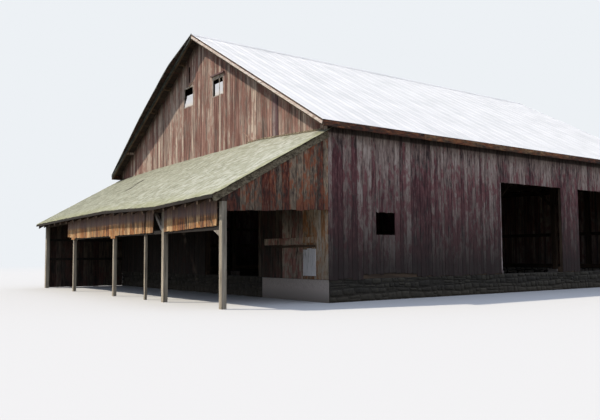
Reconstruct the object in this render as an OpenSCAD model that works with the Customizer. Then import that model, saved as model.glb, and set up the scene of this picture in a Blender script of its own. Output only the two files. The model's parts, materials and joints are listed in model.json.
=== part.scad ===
// Old timber barn with a metal roof and an open lean-to along its front gable.
// X runs across the gables, Y runs along the barn with the lean-to at -Y, Z is up.
// The origin is on the level ground, in the middle of the whole building's box.

/* [Barn] */
// Width across the gable, outside the boards
barn_w = 15240; // [13800:10:17000]
// Length of the barn, outside the boards
barn_l = 19200; // [18600:10:22000]
// Height of the roof's upper face at the eave
eave_z = 5100; // [4900:10:5600]
// Rise of the main roof for each unit of run
roof_slope = 0.572; // [0.5:0.001:0.65]
// How far the main roof reaches past the side walls
eave_oh = 320; // [200:10:450]
// How far the main roof reaches past the gables
rake_oh = 420; // [250:10:500]
// How much further the left slope's uneven boards reach past the front gable
rake_bow = 220; // [0:10:260]

/* [Foundation] */
// Height of the stone foundation above the ground
foundation_z = 650; // [400:10:800]
// Thickness of the stone foundation
foundation_t = 450; // [400:10:600]
// Side of the square stone piers under the inner posts
pier_side = 450; // [300:10:600]

/* [Timber frame] */
// Side of the square wall posts and inner posts
post_side = 200; // [160:5:240]
// Side of the square sill beams
sill_side = 200; // [160:5:220]
// Height and width of the wall plates
plate_side = 200; // [160:5:240]
// Side of the square tie beams
tie_side = 200; // [160:5:240]
// Distance from the wall plates down to the tie beams
tie_drop = 300; // [220:10:450]
// Side of the square purlins
purlin_side = 180; // [150:5:220]
// Distance of the purlins and inner posts from the middle of the barn
purlin_x = 4100; // [3900:10:4500]
// Side of the square knee braces
brace_side = 100; // [80:5:140]
// Reach of the knee braces along each leg
brace_reach = 900; // [600:10:1200]
// Width of a main rafter
rafter_w = 50; // [40:1:75]
// Depth of a main rafter
rafter_h = 150; // [120:1:200]
// Number of main rafters on each slope
rafter_count = 25; // [15:1:33]
// Depth of the seats cut into the main rafters
seat_h = 40; // [20:1:60]
// Number of lookouts to each slope of a gable
lookout_count = 5; // [3:1:8]
// Depth of the lookouts that carry the outermost rafters
lookout_h = 100; // [80:5:140]
// Thickness of the ridge board
ridge_t = 50; // [40:1:75]
// Height of a girt
girt_h = 150; // [100:5:180]
// Depth of a girt behind the boards
girt_t = 100; // [60:5:120]

/* [Boards and roofing] */
// Thickness of the wall boards
siding_t = 25; // [19:1:38]
// Thickness of the roof deck
deck_t = 25; // [19:1:40]
// Depth of the ribbed metal on the main roof
metal_t = 20; // [10:1:40]
// Width of the ridge cap on each slope
cap_w = 220; // [120:5:300]
// Thickness of the ridge cap
cap_t = 6; // [4:1:12]
// Thickness of the fascia and rake boards
trim_t = 25; // [19:1:38]
// Height of the eave fascia
fascia_h = 180; // [120:5:220]
// Height of the rake boards
rake_h = 110; // [90:5:200]

/* [Doorways] */
// Width of each wagon doorway in the right wall
door_w = 3650; // [3200:10:3900]
// Height of the doorway heads above the ground
door_head_z = 3850; // [3500:10:3950]
// Distance from the front gable to the first wagon doorway
door_start = 7700; // [7400:10:8000]
// Width of the boarded pier between the two wagon doorways
pier_w = 1150; // [900:10:1300]
// Width of the doorway under the lean-to
front_door_w = 3600; // [2600:10:3650]
// Height of the head of the doorway under the lean-to
front_door_head_z = 3050; // [2700:10:3300]
// Height of the lintels over the doorways
lintel_h = 200; // [150:5:250]

/* [Windows] */
// Width of the windows in the side walls
side_window_w = 770; // [600:10:900]
// Height of the windows in the side walls
side_window_h = 670; // [500:10:800]
// Height of the bottom of the side windows above the ground
side_window_z = 1930; // [1800:10:2100]
// Distance from the front gable to the side windows
side_window_y = 1810; // [1600:10:2200]
// Width of the gable windows
gable_window_w = 800; // [600:10:900]
// Height of the gable windows
gable_window_h = 790; // [700:10:950]
// Height of the bottom of the gable windows above the ground
gable_window_z = 7080; // [7000:10:7150]
// Middle of the left gable window across the barn
gable_window_left_x = -995; // [-1400:5:-700]
// Middle of the right gable window across the barn
gable_window_right_x = 1305; // [900:5:1500]
// Width of a window frame's bars
frame_bar = 45; // [30:1:70]
// Depth of a window frame
frame_d = 60; // [40:1:80]
// Thickness of a window pane
pane_t = 10; // [6:1:20]
// Height of the pane in a gable window
pane_h = 400; // [300:10:520]
// Middle of the missing board above the left gable window
slit_x = -920; // [-1100:5:-850]
// Width of the missing board above the left gable window
slit_w = 110; // [60:5:160]
// Length of the missing board above the left gable window
slit_h = 640; // [300:10:700]

/* [Lean-to] */
// Depth of the lean-to from the gable to the outer face of its posts
lean_depth = 3420; // [3000:10:4000]
// How far the lean-to roof reaches past its posts
lean_eave_oh = 330; // [200:10:400]
// Height of the lean-to roof's upper face at its right front corner
lean_eave_z = 2870; // [2800:10:3000]
// Height of the lean-to roof's upper face against the gable, at its ends
lean_wall_z = 4890; // [4700:10:5000]
// How far the lean-to roof reaches past the left wall
lean_left_oh = 280; // [150:10:300]
// How far the lean-to roof reaches past the right wall
lean_right_oh = 90; // [60:5:200]
// Side of the square lean-to posts at the corners and beside the opening in the hanging boards
lean_post = 140; // [120:5:180]
// Side of the two thinner posts between them
lean_thin_post = 110; // [90:5:120]
// Side of the single pole that props the plate
lean_prop = 75; // [50:5:80]
// Place of that pole across the barn
lean_prop_x = 2800; // [1800:10:3200]
// Height of the lean-to plate
lean_plate_h = 150; // [120:5:180]
// Thickness of the lean-to deck with its shingles
lean_deck_t = 45; // [35:1:70]
// Width of a lean-to rafter
lean_rafter_w = 50; // [40:1:60]
// Depth of a lean-to rafter
lean_rafter_h = 150; // [120:1:170]
// Rafters to each bay of the lean-to
lean_rafters_per_bay = 5; // [3:1:7]
// Depth of the seats cut into the lean-to rafters
lean_seat_h = 25; // [15:1:40]
// Thickness of the lean-to ledger and end beams
lean_ledger_t = 50; // [40:1:75]
// Height of the lean-to ledger
lean_ledger_h = 200; // [150:5:250]
// Thickness of the lean-to rails
rail_t = 40; // [30:1:50]
// Height of the lean-to rails
rail_h = 100; // [80:5:150]
// Height of the underside of the lean-to rails above the ground
rail_z = 1980; // [1900:10:2100]
// Height of the lower ends of the hanging boards above the ground
valance_z = 2030; // [1990:10:2060]
// Height of the lean-to's right end boards above the ground, at the front
end_header_z = 2460; // [2350:10:2500]
// How much higher those boards end at the gable
end_header_rise = 160; // [0:10:250]
// Height of the beam behind the lean-to's right end boards
end_beam_h = 150; // [100:5:200]
// Width of the lean-to braces
lean_brace = 90; // [70:5:120]
// Reach of the lean-to braces along the plate
lean_brace_reach = 700; // [500:10:800]

/* [Hidden] */

// Colours of the materials
c_red = "#7a5a52";
c_grey = "#8d8479";
c_frame = "#6f5b48";
c_stone = "#8b8680";
c_metal = "#dfe3e4";
c_trim = "#b9ad98";
c_rust = "#6e3b2c";
c_moss = "#a9ad95";
c_pane = "#e4e7e4";

// Clearance between pieces that follow a sloping face
fit = 0.3;

// Outer faces of the walls
half_w = barn_w / 2;
inner_w = half_w - siding_t;
front_y = lean_depth + lean_eave_oh - (lean_depth + lean_eave_oh + barn_l + rake_oh) / 2;
rear_y = front_y + barn_l;
frame_front = front_y + siding_t;
frame_rear = rear_y - siding_t;

// Main roof, each height measured straight up
roof_half = half_w + eave_oh;
slant = sqrt(1 + roof_slope * roof_slope);
metal_v = metal_t * slant;
deck_v = deck_t * slant;
rafter_v = rafter_h * slant;
lookout_v = min(lookout_h, rafter_h) * slant;
function roof_z(x) = eave_z + (roof_half - abs(x)) * roof_slope;
function deck_bottom(x) = roof_z(x) - metal_v - deck_v;
function rafter_bottom(x) = deck_bottom(x) - rafter_v;
function rafter_x(z) = roof_half - (z - eave_z + metal_v + deck_v + rafter_v) / roof_slope;

// Reach of the left slope past the front gable, from the ridge to the eave: the share of the
// slope and the share of the bow there
rake_line = [[0, 0], [0.2, 1], [0.55, 0.85], [1, 0]];
rake_front = front_y - rake_oh;
rake_rear = rear_y + rake_oh;

// Levels of the frame
sill_top = foundation_z + sill_side;
side_top = rafter_bottom(half_w);
plate_top = rafter_bottom(inner_w) + seat_h;
plate_bottom = plate_top - plate_side;
tie_top = plate_bottom - tie_drop;
tie_bottom = tie_top - tie_side;
purlin_top = rafter_bottom(purlin_x + purlin_side / 2) + seat_h;
purlin_bottom = purlin_top - purlin_side;
post_in = inner_w - post_side;

// Lines of the bents along the barn, at the middle of their posts
door_y1 = front_y + door_start;
door_y2 = door_y1 + door_w;
door_y3 = door_y2 + pier_w;
door_y4 = door_y3 + door_w;
bent_first = frame_front + post_side / 2;
bent_last = frame_rear - post_side / 2;
bent_door = door_y1 - post_side / 2;
bents = [bent_first, (bent_first + bent_door) / 2, bent_door, (door_y2 + door_y3) / 2,
         door_y4 + post_side / 2, bent_last];
last_bent = len(bents) - 1;
jamb_t = 100;

// Doorway under the lean-to, which ends at the inner post on the right
front_door_x2 = purlin_x - post_side / 2;
front_door_x1 = front_door_x2 - front_door_w;

// Girt levels
side_girt_levels = [side_window_z - girt_h, side_window_z + side_window_h];
gable_window_top = gable_window_z + gable_window_h;
gable_low_girt = 2250;
end_girt_levels = [1180, 2000];
gable_high_girt = 5900;

// Lean-to frame line, its posts from left to right and how they have settled
lean_y = front_y - lean_depth;
lean_tip = lean_y - lean_eave_oh;
lean_x = [-half_w + siding_t + lean_post / 2, -3850, 300, 4170, half_w - lean_post / 2];
lean_settle = [140, 70, 10, 110, 0];
lean_lift = [0, 110, 160, 200, 20];
lean_last = len(lean_x) - 1;
lean_x0 = -half_w - lean_left_oh;
lean_x1 = half_w + lean_right_oh;
lean_run = lean_depth + lean_eave_oh;
lean_slant = sqrt(1 + pow((lean_wall_z - lean_eave_z) / lean_run, 2));
lean_deck_v = lean_deck_t * lean_slant;
lean_rafter_v = lean_rafter_h * lean_slant;
function lean_eave(x) = lean_eave_z - lookup(x, [for (i = [0:lean_last]) [lean_x[i], lean_settle[i]]]);
function lean_wall(x) = lean_wall_z + lookup(x, [for (i = [0:lean_last]) [lean_x[i], lean_lift[i]]]);
function lean_roof(x, y) =
    lean_eave(x) + (lean_wall(x) - lean_eave(x)) * (y - lean_tip) / lean_run;
function lean_under(x, y) = lean_roof(x, y) - lean_deck_v;
function lean_rafter_low(x, y) = lean_under(x, y) - lean_rafter_v;
function lean_plate_top(x) = lean_rafter_low(x, lean_y) + lean_seat_h;
function lean_plate_low(x) = lean_plate_top(x) - lean_plate_h;
function lean_ledger_top(x) = lean_rafter_low(x, front_y - lean_ledger_t);

// Lean-to rafters, evenly between the posts
lean_rafter_x = [
    for (i = [0:lean_last - 1]) for (k = [0:lean_rafters_per_bay - 1])
        lean_x[i] + (lean_x[i + 1] - lean_x[i]) * k / lean_rafters_per_bay,
    lean_x[lean_last]];
lean_stations = concat(
    [lean_x0],
    [for (x = lean_rafter_x) for (s = [-1, 1]) x + s * lean_rafter_w / 2],
    [lean_x1]);

// Half the side of each lean-to post, and the lowest point of the plate over a width
function lean_half(i) = (i == 1 || i == 2 ? lean_thin_post : lean_post) / 2;
function lean_plate_over(x, h) = min([for (p = [x - h, x, x + h]) lean_plate_low(p)]);

// Runs of the hanging boards between their ends
valance_runs = [
    [lean_x[1] - 650, lean_x[2] + 2620], [lean_x[2] + 2720, lean_x[3] - 620],
    [lean_x[3] + 130, lean_x[4] - 165]];

// Window frames: middle, wall's outer face and the way that the wall faces
gable_windows = [
    for (x = [gable_window_left_x, gable_window_right_x]) for (side = [-1, 1])
        [x, side < 0 ? front_y : rear_y - frame_d]];

// Extrusions of a section drawn in X and Z along Y, and in Y and Z along X
module along_y(from, to) {
    translate([0, to, 0]) rotate([90, 0, 0]) linear_extrude(to - from) children();
}
module along_x(from, to) {
    translate([from, 0, 0]) rotate([90, 0, 90]) linear_extrude(to - from) children();
}
module block(from, to) {
    translate(from) cube(to - from);
}
module both_sides() {
    children();
    mirror([1, 0, 0]) children();
}

// Right half of a layer of the main roof between two heights below the roof's face
module roof_layer(high, low, x0, x1) {
    polygon([[x0, roof_z(x0) - high], [x1, roof_z(x1) - high],
             [x1, roof_z(x1) - low], [x0, roof_z(x0) - low]]);
}

// Stone walls under the gables, between the side walls
module gable_foundations() {
    x = inner_w - foundation_t;
    color(c_stone) {
        block([-x, frame_front, 0], [x, frame_front + foundation_t, foundation_z]);
        block([-x, frame_rear - foundation_t, 0], [x, frame_rear, foundation_z]);
    }
}

// Stone walls under the side walls
module side_foundations() {
    color(c_stone) both_sides()
        block([inner_w - foundation_t, frame_front, 0], [inner_w, frame_rear, foundation_z]);
}

// Stone piers under the inner posts of the middle bents
module post_piers() {
    h = pier_side / 2;
    color(c_stone) both_sides() for (i = [1:last_bent - 1])
        block([purlin_x - h, bents[i] - h, 0], [purlin_x + h, bents[i] + h, foundation_z]);
}

// Sill beams of the side walls, left out at the wagon doorways
module side_sills() {
    x = inner_w - sill_side;
    color(c_frame) {
        block([-inner_w, frame_front, foundation_z], [-x, frame_rear, sill_top]);
        for (run = [[frame_front, door_y1], [door_y2, door_y3], [door_y4, frame_rear]])
            block([x, run[0], foundation_z], [inner_w, run[1], sill_top]);
    }
}

// Sill beams of the gables, between those of the side walls
module gable_sills() {
    x = inner_w - sill_side;
    color(c_frame) {
        for (run = [[-x, front_door_x1], [front_door_x2, x]])
            block([run[0], frame_front, foundation_z], [run[1], frame_front + sill_side, sill_top]);
        block([-x, frame_rear - sill_side, foundation_z], [x, frame_rear, sill_top]);
    }
}

// Posts of the side walls, with a stud at each edge of the boarded pier
module wall_posts() {
    h = post_side / 2;
    color(c_frame) {
        both_sides() for (y = bents)
            block([post_in, y - h, sill_top], [inner_w, y + h, plate_bottom]);
        for (y = [door_y2, door_y3 - jamb_t])
            block([inner_w - jamb_t, y, sill_top], [inner_w, y + jamb_t, door_head_z]);
    }
}

// Inner posts from the piers or gable sills up to the tie beams
module inner_posts() {
    h = post_side / 2;
    color(c_frame) {
        both_sides() for (i = [0:last_bent])
            block([purlin_x - h, bents[i] - h, i > 0 && i < last_bent ? foundation_z : sill_top],
                  [purlin_x + h, bents[i] + h, tie_bottom]);
        block([front_door_x1 - post_side, bents[0] - h, sill_top],
              [front_door_x1, bents[0] + h, tie_bottom]);
    }
}

// Tie beams across the barn, one to each bent
module tie_beams() {
    h = tie_side / 2;
    shift = (post_side - tie_side) / 2;
    color(c_frame) for (i = [0:last_bent]) {
        y = bents[i] + (i == 0 ? -shift : i == last_bent ? shift : 0);
        block([-post_in, y - h, tie_bottom], [post_in, y + h, tie_top]);
    }
}

// Queen posts from the tie beams up to the purlins
module queen_posts() {
    h = post_side / 2;
    color(c_frame) both_sides() for (y = bents)
        block([purlin_x - h, y - h, tie_top], [purlin_x + h, y + h, purlin_bottom]);
}

// Purlins along the barn under the middle of the rafters
module purlins() {
    h = purlin_side / 2;
    color(c_frame) both_sides()
        block([purlin_x - h, frame_front, purlin_bottom], [purlin_x + h, frame_rear, purlin_top]);
}

// Section of a knee brace in the corner under a beam, its post face at 0 and its beam at 0
module brace_section(side, reach) {
    w = side * sqrt(2);
    polygon([[0, -reach], [0, -reach + w], [reach - w, 0], [reach, 0]]);
}

// Knee braces under the tie beams, and along the barn under the purlins
module knee_braces() {
    h = post_side / 2;
    b = brace_side / 2;
    color(c_frame) {
        both_sides() for (i = [1:last_bent - 1]) along_y(bents[i] - b, bents[i] + b) {
            translate([purlin_x + h, tie_bottom]) brace_section(brace_side, brace_reach);
            translate([purlin_x - h, tie_bottom]) mirror([1, 0]) brace_section(brace_side, brace_reach);
            translate([post_in, tie_bottom]) mirror([1, 0]) brace_section(brace_side, brace_reach);
        }
        both_sides() for (i = [0:last_bent]) along_x(purlin_x - b, purlin_x + b) {
            if (i < last_bent)
                translate([bents[i] + h, purlin_bottom]) brace_section(brace_side, brace_reach);
            if (i > 0)
                translate([bents[i] - h, purlin_bottom])
                    mirror([1, 0]) brace_section(brace_side, brace_reach);
        }
    }
}

// Plates on top of the wall posts
module wall_plates() {
    color(c_frame) both_sides()
        block([inner_w - plate_side, frame_front, plate_bottom], [inner_w, frame_rear, plate_top]);
}

// Girts of the side walls, from post to post, with none across a wagon doorway
module side_girts() {
    h = post_side / 2;
    color(c_frame) for (z = side_girt_levels) {
        for (i = [0:last_bent - 1]) {
            block([-inner_w, bents[i] + h, z], [-inner_w + girt_t, bents[i + 1] - h, z + girt_h]);
            if (i < 2 || i > 3)
                block([inner_w - girt_t, bents[i] + h, z], [inner_w, bents[i + 1] - h, z + girt_h]);
        }
    }
}

// Girts of both gables, cut short by the posts and rafters
module gable_girts() {
    h = post_side / 2;
    window_girt = min(rafter_x(gable_window_z), purlin_x - purlin_side / 2);
    color(c_frame) {
        for (end = [[frame_front, 1], [frame_rear - girt_t, 0]]) {
            y = end[0];
            both_sides() block([purlin_x + h, y, gable_low_girt],
                               [post_in, y + girt_t, gable_low_girt + girt_h]);
            block([-purlin_x + h, y, gable_low_girt],
                  [end[1] == 1 ? front_door_x1 - post_side : purlin_x - h, y + girt_t,
                   gable_low_girt + girt_h]);
            block([-purlin_x + h, y, gable_high_girt], [purlin_x - h, y + girt_t, gable_high_girt + girt_h]);
            both_sides() block([purlin_x + h, y, gable_high_girt],
                               [rafter_x(gable_high_girt + girt_h) - fit, y + girt_t,
                                gable_high_girt + girt_h]);
            block([-window_girt + fit, y, gable_window_z - girt_h],
                  [window_girt - fit, y + girt_t, gable_window_z]);
            block([-rafter_x(gable_window_top + girt_h) + fit, y, gable_window_top],
                  [rafter_x(gable_window_top + girt_h) - fit, y + girt_t, gable_window_top + girt_h]);
        }
    }
}

// Lintels over the three doorways
module door_lintels() {
    h = post_side / 2;
    color(c_frame) {
        for (i = [2, 3])
            block([inner_w - girt_t, bents[i] + h, door_head_z],
                  [inner_w, bents[i + 1] - h, door_head_z + lintel_h]);
        block([front_door_x1, frame_front, front_door_head_z],
              [front_door_x2, frame_front + girt_t, front_door_head_z + lintel_h]);
    }
}

// Right-hand rafters with seats on the plate and the purlin, and those outside the gables
module rafter_row() {
    step = (frame_rear - frame_front - rafter_w) / (rafter_count - 1);
    tail = roof_half - trim_t;
    high = metal_v + deck_v;
    outer_front = rake_front + trim_t + rafter_w;
    outer_rear = rake_rear - trim_t - rafter_w;
    for (i = [0:rafter_count - 1]) {
        y = frame_front + i * step;
        along_y(y, y + rafter_w) difference() {
            roof_layer(high, high + rafter_v, ridge_t / 2, tail);
            translate([inner_w - plate_side, 0]) square([plate_side, plate_top]);
            translate([purlin_x - purlin_side / 2, 0]) square([purlin_side, purlin_top]);
        }
    }
    for (y = [outer_front - rafter_w, outer_rear])
        along_y(y, y + rafter_w) roof_layer(high, high + rafter_v, 0, tail);
    for (run = [[outer_front, front_y], [rear_y, outer_rear]]) for (k = [1:lookout_count]) {
        x = inner_w * k / (lookout_count + 1);
        along_y(run[0], run[1]) roof_layer(high, high + lookout_v, x - rafter_w / 2, x + rafter_w / 2);
    }
}
module rafters_right() {
    color(c_frame) rafter_row();
}
module rafters_left() {
    color(c_frame) mirror([1, 0, 0]) rafter_row();
}

// Ridge board between the rafters
module ridge_board() {
    x = ridge_t / 2;
    color(c_frame) block([-x, frame_front, rafter_bottom(x)], [x, frame_rear, deck_bottom(x)]);
}

// Boards of the right wall in front of the wagon doorways, with a window
module right_wall_front() {
    color(c_grey) difference() {
        block([inner_w, front_y, foundation_z], [half_w, door_y1, side_top]);
        side_window_hole(inner_w);
    }
}
module side_window_hole(x) {
    y = front_y + side_window_y;
    block([x - siding_t, y, side_window_z],
          [x + 2 * siding_t, y + side_window_w, side_window_z + side_window_h]);
}

// Boards between the two wagon doorways
module right_wall_pier() {
    color(c_grey) block([inner_w, door_y2, foundation_z], [half_w, door_y3, door_head_z]);
}

// Boards of the right wall behind the wagon doorways
module right_wall_rear() {
    color(c_grey) block([inner_w, door_y4, foundation_z], [half_w, rear_y, side_top]);
}

// Boards over both wagon doorways
module right_wall_header() {
    color(c_grey) block([inner_w, door_y1, door_head_z], [half_w, door_y4, side_top]);
}

// Boards of the left wall, closed but for a window
module left_wall() {
    color(c_grey) difference() {
        block([-half_w, front_y, foundation_z], [-inner_w, rear_y, side_top]);
        side_window_hole(-half_w);
    }
}

// Boards of the front wall on each side of its doorway
module front_wall() {
    color(c_red) for (run = [[-inner_w, front_door_x1], [front_door_x2, inner_w]])
        block([run[0], front_y, foundation_z], [run[1], frame_front, front_door_head_z]);
}

// Outline of a gable from a level up to the roof deck, with its two windows
module gable_outline(z) {
    difference() {
        polygon([[-inner_w, z], [inner_w, z], [inner_w, deck_bottom(inner_w)],
                 [0, deck_bottom(0)], [-inner_w, deck_bottom(inner_w)]]);
        for (x = [gable_window_left_x, gable_window_right_x])
            translate([x - gable_window_w / 2, gable_window_z]) square([gable_window_w, gable_window_h]);
    }
}

// Boards of the front gable, with one board broken off above the left window
module front_gable() {
    color(c_red) along_y(front_y, frame_front) difference() {
        gable_outline(front_door_head_z);
        translate([slit_x - slit_w / 2, gable_window_top + girt_h]) square([slit_w, slit_h]);
    }
}

// Boards of the rear wall, from the foundation up to the roof
module rear_wall() {
    color(c_red) along_y(frame_rear, rear_y) gable_outline(foundation_z);
}

// Deck and ribbed metal of the right slope
module roof_deck_right() {
    color(c_frame) along_y(rake_front, rake_rear) roof_layer(metal_v, metal_v + deck_v, 0, roof_half);
}
module roof_metal_right() {
    color(c_metal) along_y(rake_front, rake_rear) roof_layer(0, metal_v, 0, roof_half);
}

// A layer of the left slope, cut off along the uneven line of its front ends
module left_slope(high, low) {
    past = 100;
    ends = [for (p = rake_line) [-roof_half * p[0], rake_front - rake_bow * p[1]]];
    last = ends[len(ends) - 1];
    intersection() {
        mirror([1, 0, 0]) along_y(rake_front - rake_bow - past, rake_rear)
            roof_layer(high, low, 0, roof_half);
        linear_extrude(roof_z(0) + past) polygon(concat(
            [[past, rake_rear + past], [past, ends[0][1]]], ends,
            [[last[0] - past, last[1]], [last[0] - past, rake_rear + past]]));
    }
}
module roof_deck_left() {
    color(c_frame) left_slope(metal_v, metal_v + deck_v);
}
module roof_metal_left() {
    color(c_metal) left_slope(0, metal_v);
}

// Bent cap over the ridge
module ridge_cap() {
    cap_v = cap_t * slant;
    color(c_metal) along_y(rake_front, rake_rear)
        polygon([[-cap_w, roof_z(cap_w)], [0, roof_z(0)], [cap_w, roof_z(cap_w)],
                 [cap_w, roof_z(cap_w) + cap_v], [0, roof_z(0) + cap_v], [-cap_w, roof_z(cap_w) + cap_v]]);
}

// Boards across the rafter tails, between the rake boards
module eave_fascias() {
    x = roof_half - trim_t;
    top = deck_bottom(roof_half);
    color(c_rust) both_sides()
        block([x, rake_front + trim_t, top - fascia_h], [roof_half, rake_rear - trim_t, top]);
}

// Boards under the edge of the roof at each gable
module rake_boards() {
    rake_v = rake_h * slant;
    color(c_trim) for (y = [rake_front, rake_rear - trim_t])
        along_y(y, y + trim_t)
            polygon([[-roof_half, deck_bottom(roof_half)], [0, deck_bottom(0)],
                     [roof_half, deck_bottom(roof_half)], [roof_half, deck_bottom(roof_half) - rake_v],
                     [0, deck_bottom(0) - rake_v], [-roof_half, deck_bottom(roof_half) - rake_v]]);
}

// Frames with a middle bar in the four gable windows
module window_frames() {
    w = gable_window_w;
    h = gable_window_h;
    color(c_trim) for (at = gable_windows)
        along_y(at[1], at[1] + frame_d) translate([at[0] - w / 2, gable_window_z]) difference() {
            square([w, h]);
            for (x = [frame_bar, (w + frame_bar) / 2])
                translate([x, frame_bar]) square([(w - 3 * frame_bar) / 2, h - 2 * frame_bar]);
        }
}

// Panes in the lower half of the gable windows, one on each side of the middle bar
module window_panes() {
    w = gable_window_w;
    color(c_pane) for (at = gable_windows) for (x = [frame_bar, (w + frame_bar) / 2]) {
        y = at[1] + (frame_d - pane_t) / 2;
        x0 = at[0] - w / 2 + x;
        z0 = gable_window_z + frame_bar;
        block([x0, y, z0], [x0 + (w - 3 * frame_bar) / 2, y + pane_t, z0 + pane_h]);
    }
}

// Lean-to posts, cut to the height of the settled plate, and the pole behind the rail
module lean_to_posts() {
    color(c_grey) {
        for (i = [0:lean_last]) {
            x = lean_x[i];
            h = lean_half(i);
            block([x - h, lean_y, 0], [x + h, lean_y + 2 * h, lean_plate_over(x, h) - fit]);
        }
        p = lean_prop / 2;
        y = lean_y + rail_t + fit;
        block([lean_prop_x - p, y, 0],
              [lean_prop_x + p, y + lean_prop, lean_plate_over(lean_prop_x, p) - fit]);
    }
}

// Plate on the lean-to posts, which follows their heights
module lean_to_plate() {
    xs = [lean_x[0] - lean_post / 2, for (i = [0:lean_last]) lean_x[i], half_w];
    color(c_grey) along_y(lean_y, lean_y + lean_post)
        polygon(concat([for (x = xs) [x, lean_plate_top(x)]],
                       [for (i = [len(xs) - 1:-1:0]) [xs[i], lean_plate_low(xs[i])]]));
}

// Lean-to rafters with seats on the plate and the ledger
module lean_to_rafters() {
    h = lean_rafter_w / 2;
    y0 = lean_tip + trim_t;
    y1 = front_y;
    color(c_grey) for (x = lean_rafter_x) {
        xs = [x - h, x, x + h];
        high0 = min([for (p = xs) lean_under(p, y0)]) - fit;
        high1 = min([for (p = xs) lean_under(p, y1)]) - fit;
        plate = max([for (p = xs) lean_plate_top(p)]) + fit;
        ledger = max([for (p = xs) lean_ledger_top(p)]) + fit;
        along_x(x - h, x + h) difference() {
            polygon([[y0, high0], [y1, high1], [y1, high1 - lean_rafter_v], [y0, high0 - lean_rafter_v]]);
            translate([lean_y, 0]) square([lean_post, plate]);
            translate([front_y - lean_ledger_t, 0]) square([lean_ledger_t, ledger]);
        }
    }
}

// Ledger on the gable that carries the upper ends of the lean-to rafters
module lean_to_ledger() {
    xs = [-inner_w, for (i = [1:lean_last - 1]) lean_x[i], inner_w - lean_ledger_t];
    color(c_grey) along_y(front_y - lean_ledger_t, front_y)
        polygon(concat([for (x = xs) [x, lean_ledger_top(x)]],
                       [for (i = [len(xs) - 1:-1:0])
                           [xs[i], lean_ledger_top(xs[i]) - lean_ledger_h]]));
}

// Braces beside the lean-to posts, and the bracket at the corner post
module lean_to_braces() {
    y = lean_y + rail_t + 10;
    color(c_grey) {
        for (brace = [[1, -1], [1, 1], [2, -1], [2, 1], [3, -1]]) {
            x = lean_x[brace[0]] + brace[1] * lean_half(brace[0]);
            far = x + brace[1] * lean_brace_reach;
            top = min(lean_plate_low(x), lean_plate_low(far)) - fit;
            along_y(y, y + lean_brace) translate([x, top])
                mirror([brace[1] < 0 ? 1 : 0, 0]) brace_section(lean_brace, lean_brace_reach);
        }
        corner = lean_x[lean_last] - lean_half(lean_last);
        along_y(lean_y, lean_y + rail_t)
            polygon([[corner, rail_z], [corner, rail_z - 150], [corner - 300, rail_z]]);
    }
}

// Rails between the lean-to posts behind the hanging boards, the beam behind the right
// end boards and the girts behind the left end boards
module lean_to_girts() {
    y0 = lean_y + lean_post;
    low = end_header_z;
    high = end_header_z + end_header_rise;
    color(c_grey) {
        for (i = [1:lean_last - 1])
            block([lean_x[i] + lean_half(i), lean_y, rail_z],
                  [lean_x[i + 1] - lean_half(i + 1), lean_y + rail_t, rail_z + rail_h]);
        along_x(inner_w - lean_ledger_t, inner_w)
            polygon([[y0, low], [front_y, high], [front_y, high + end_beam_h], [y0, low + end_beam_h]]);
        for (z = end_girt_levels)
            block([-inner_w, y0, z], [-inner_w + lean_ledger_t, front_y, z + rail_h]);
    }
}

// Short hanging boards on the outside of the plate and the rails
module lean_to_valance() {
    color(c_red) for (run = valance_runs) {
        xs = concat([run[0]], [for (x = lean_x) if (x > run[0] && x < run[1]) x], [run[1]]);
        along_y(lean_y - siding_t, lean_y)
            polygon(concat([[run[1], valance_z], [run[0], valance_z]],
                           [for (x = xs) [x, lean_rafter_low(x, lean_y - siding_t) - 10]]));
    }
}

// Boards of the lean-to's right end, which stop high above the ground
module lean_to_end_header() {
    y0 = lean_y + lean_post;
    x = half_w;
    color(c_red) along_x(inner_w, half_w)
        polygon([[y0, end_header_z], [front_y, end_header_z + end_header_rise],
                 [front_y, lean_under(x, front_y) - fit], [y0, lean_under(x, y0) - fit]]);
}

// Boards that close the lean-to's left end down to the ground
module lean_to_left_wall() {
    color(c_red) along_x(-half_w, -inner_w)
        polygon([[lean_y, 0], [front_y, 0], [front_y, lean_under(-half_w, front_y) - fit],
                 [lean_y, lean_under(-half_w, lean_y) - fit]]);
}

// Sagging lean-to roof, a strip between each pair of stations
module lean_to_deck() {
    n = len(lean_stations);
    points = [for (x = lean_stations)
        for (p = [[lean_tip, 0], [front_y, 0], [front_y, lean_deck_v], [lean_tip, lean_deck_v]])
            [x, p[0], lean_roof(x, p[0]) - p[1]]];
    sides = [for (i = [0:n - 2]) for (k = [0:3])
        let (a = 4 * i + k, b = 4 * i + (k + 1) % 4) each [[a, b, b + 4], [a, b + 4, a + 4]]];
    color(c_moss) polyhedron(
        points, concat([[3, 2, 1, 0]], sides, [[4 * n - 4, 4 * n - 3, 4 * n - 2, 4 * n - 1]]), convexity = 4);
}

gable_foundations();
side_foundations();
post_piers();
side_sills();
gable_sills();
wall_posts();
inner_posts();
tie_beams();
queen_posts();
purlins();
knee_braces();
wall_plates();
side_girts();
gable_girts();
door_lintels();
rafters_left();
rafters_right();
ridge_board();
right_wall_front();
right_wall_pier();
right_wall_rear();
right_wall_header();
left_wall();
front_wall();
front_gable();
rear_wall();
roof_deck_left();
roof_deck_right();
roof_metal_left();
roof_metal_right();
ridge_cap();
eave_fascias();
rake_boards();
window_frames();
window_panes();
lean_to_posts();
lean_to_plate();
lean_to_rafters();
lean_to_ledger();
lean_to_braces();
lean_to_girts();
lean_to_valance();
lean_to_end_header();
lean_to_left_wall();
lean_to_deck();
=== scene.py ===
# %% [markdown]
# An old timber barn with a metal roof and an open lean-to, dressed board by board.
# The solids of the frame hold every size and place. This script gives them their finish,
# and lays real boards, stones, shingles and roof sheets where the solids only hold the form.

# %% Load the frame
import json
import math
import random
from functools import partial

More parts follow.
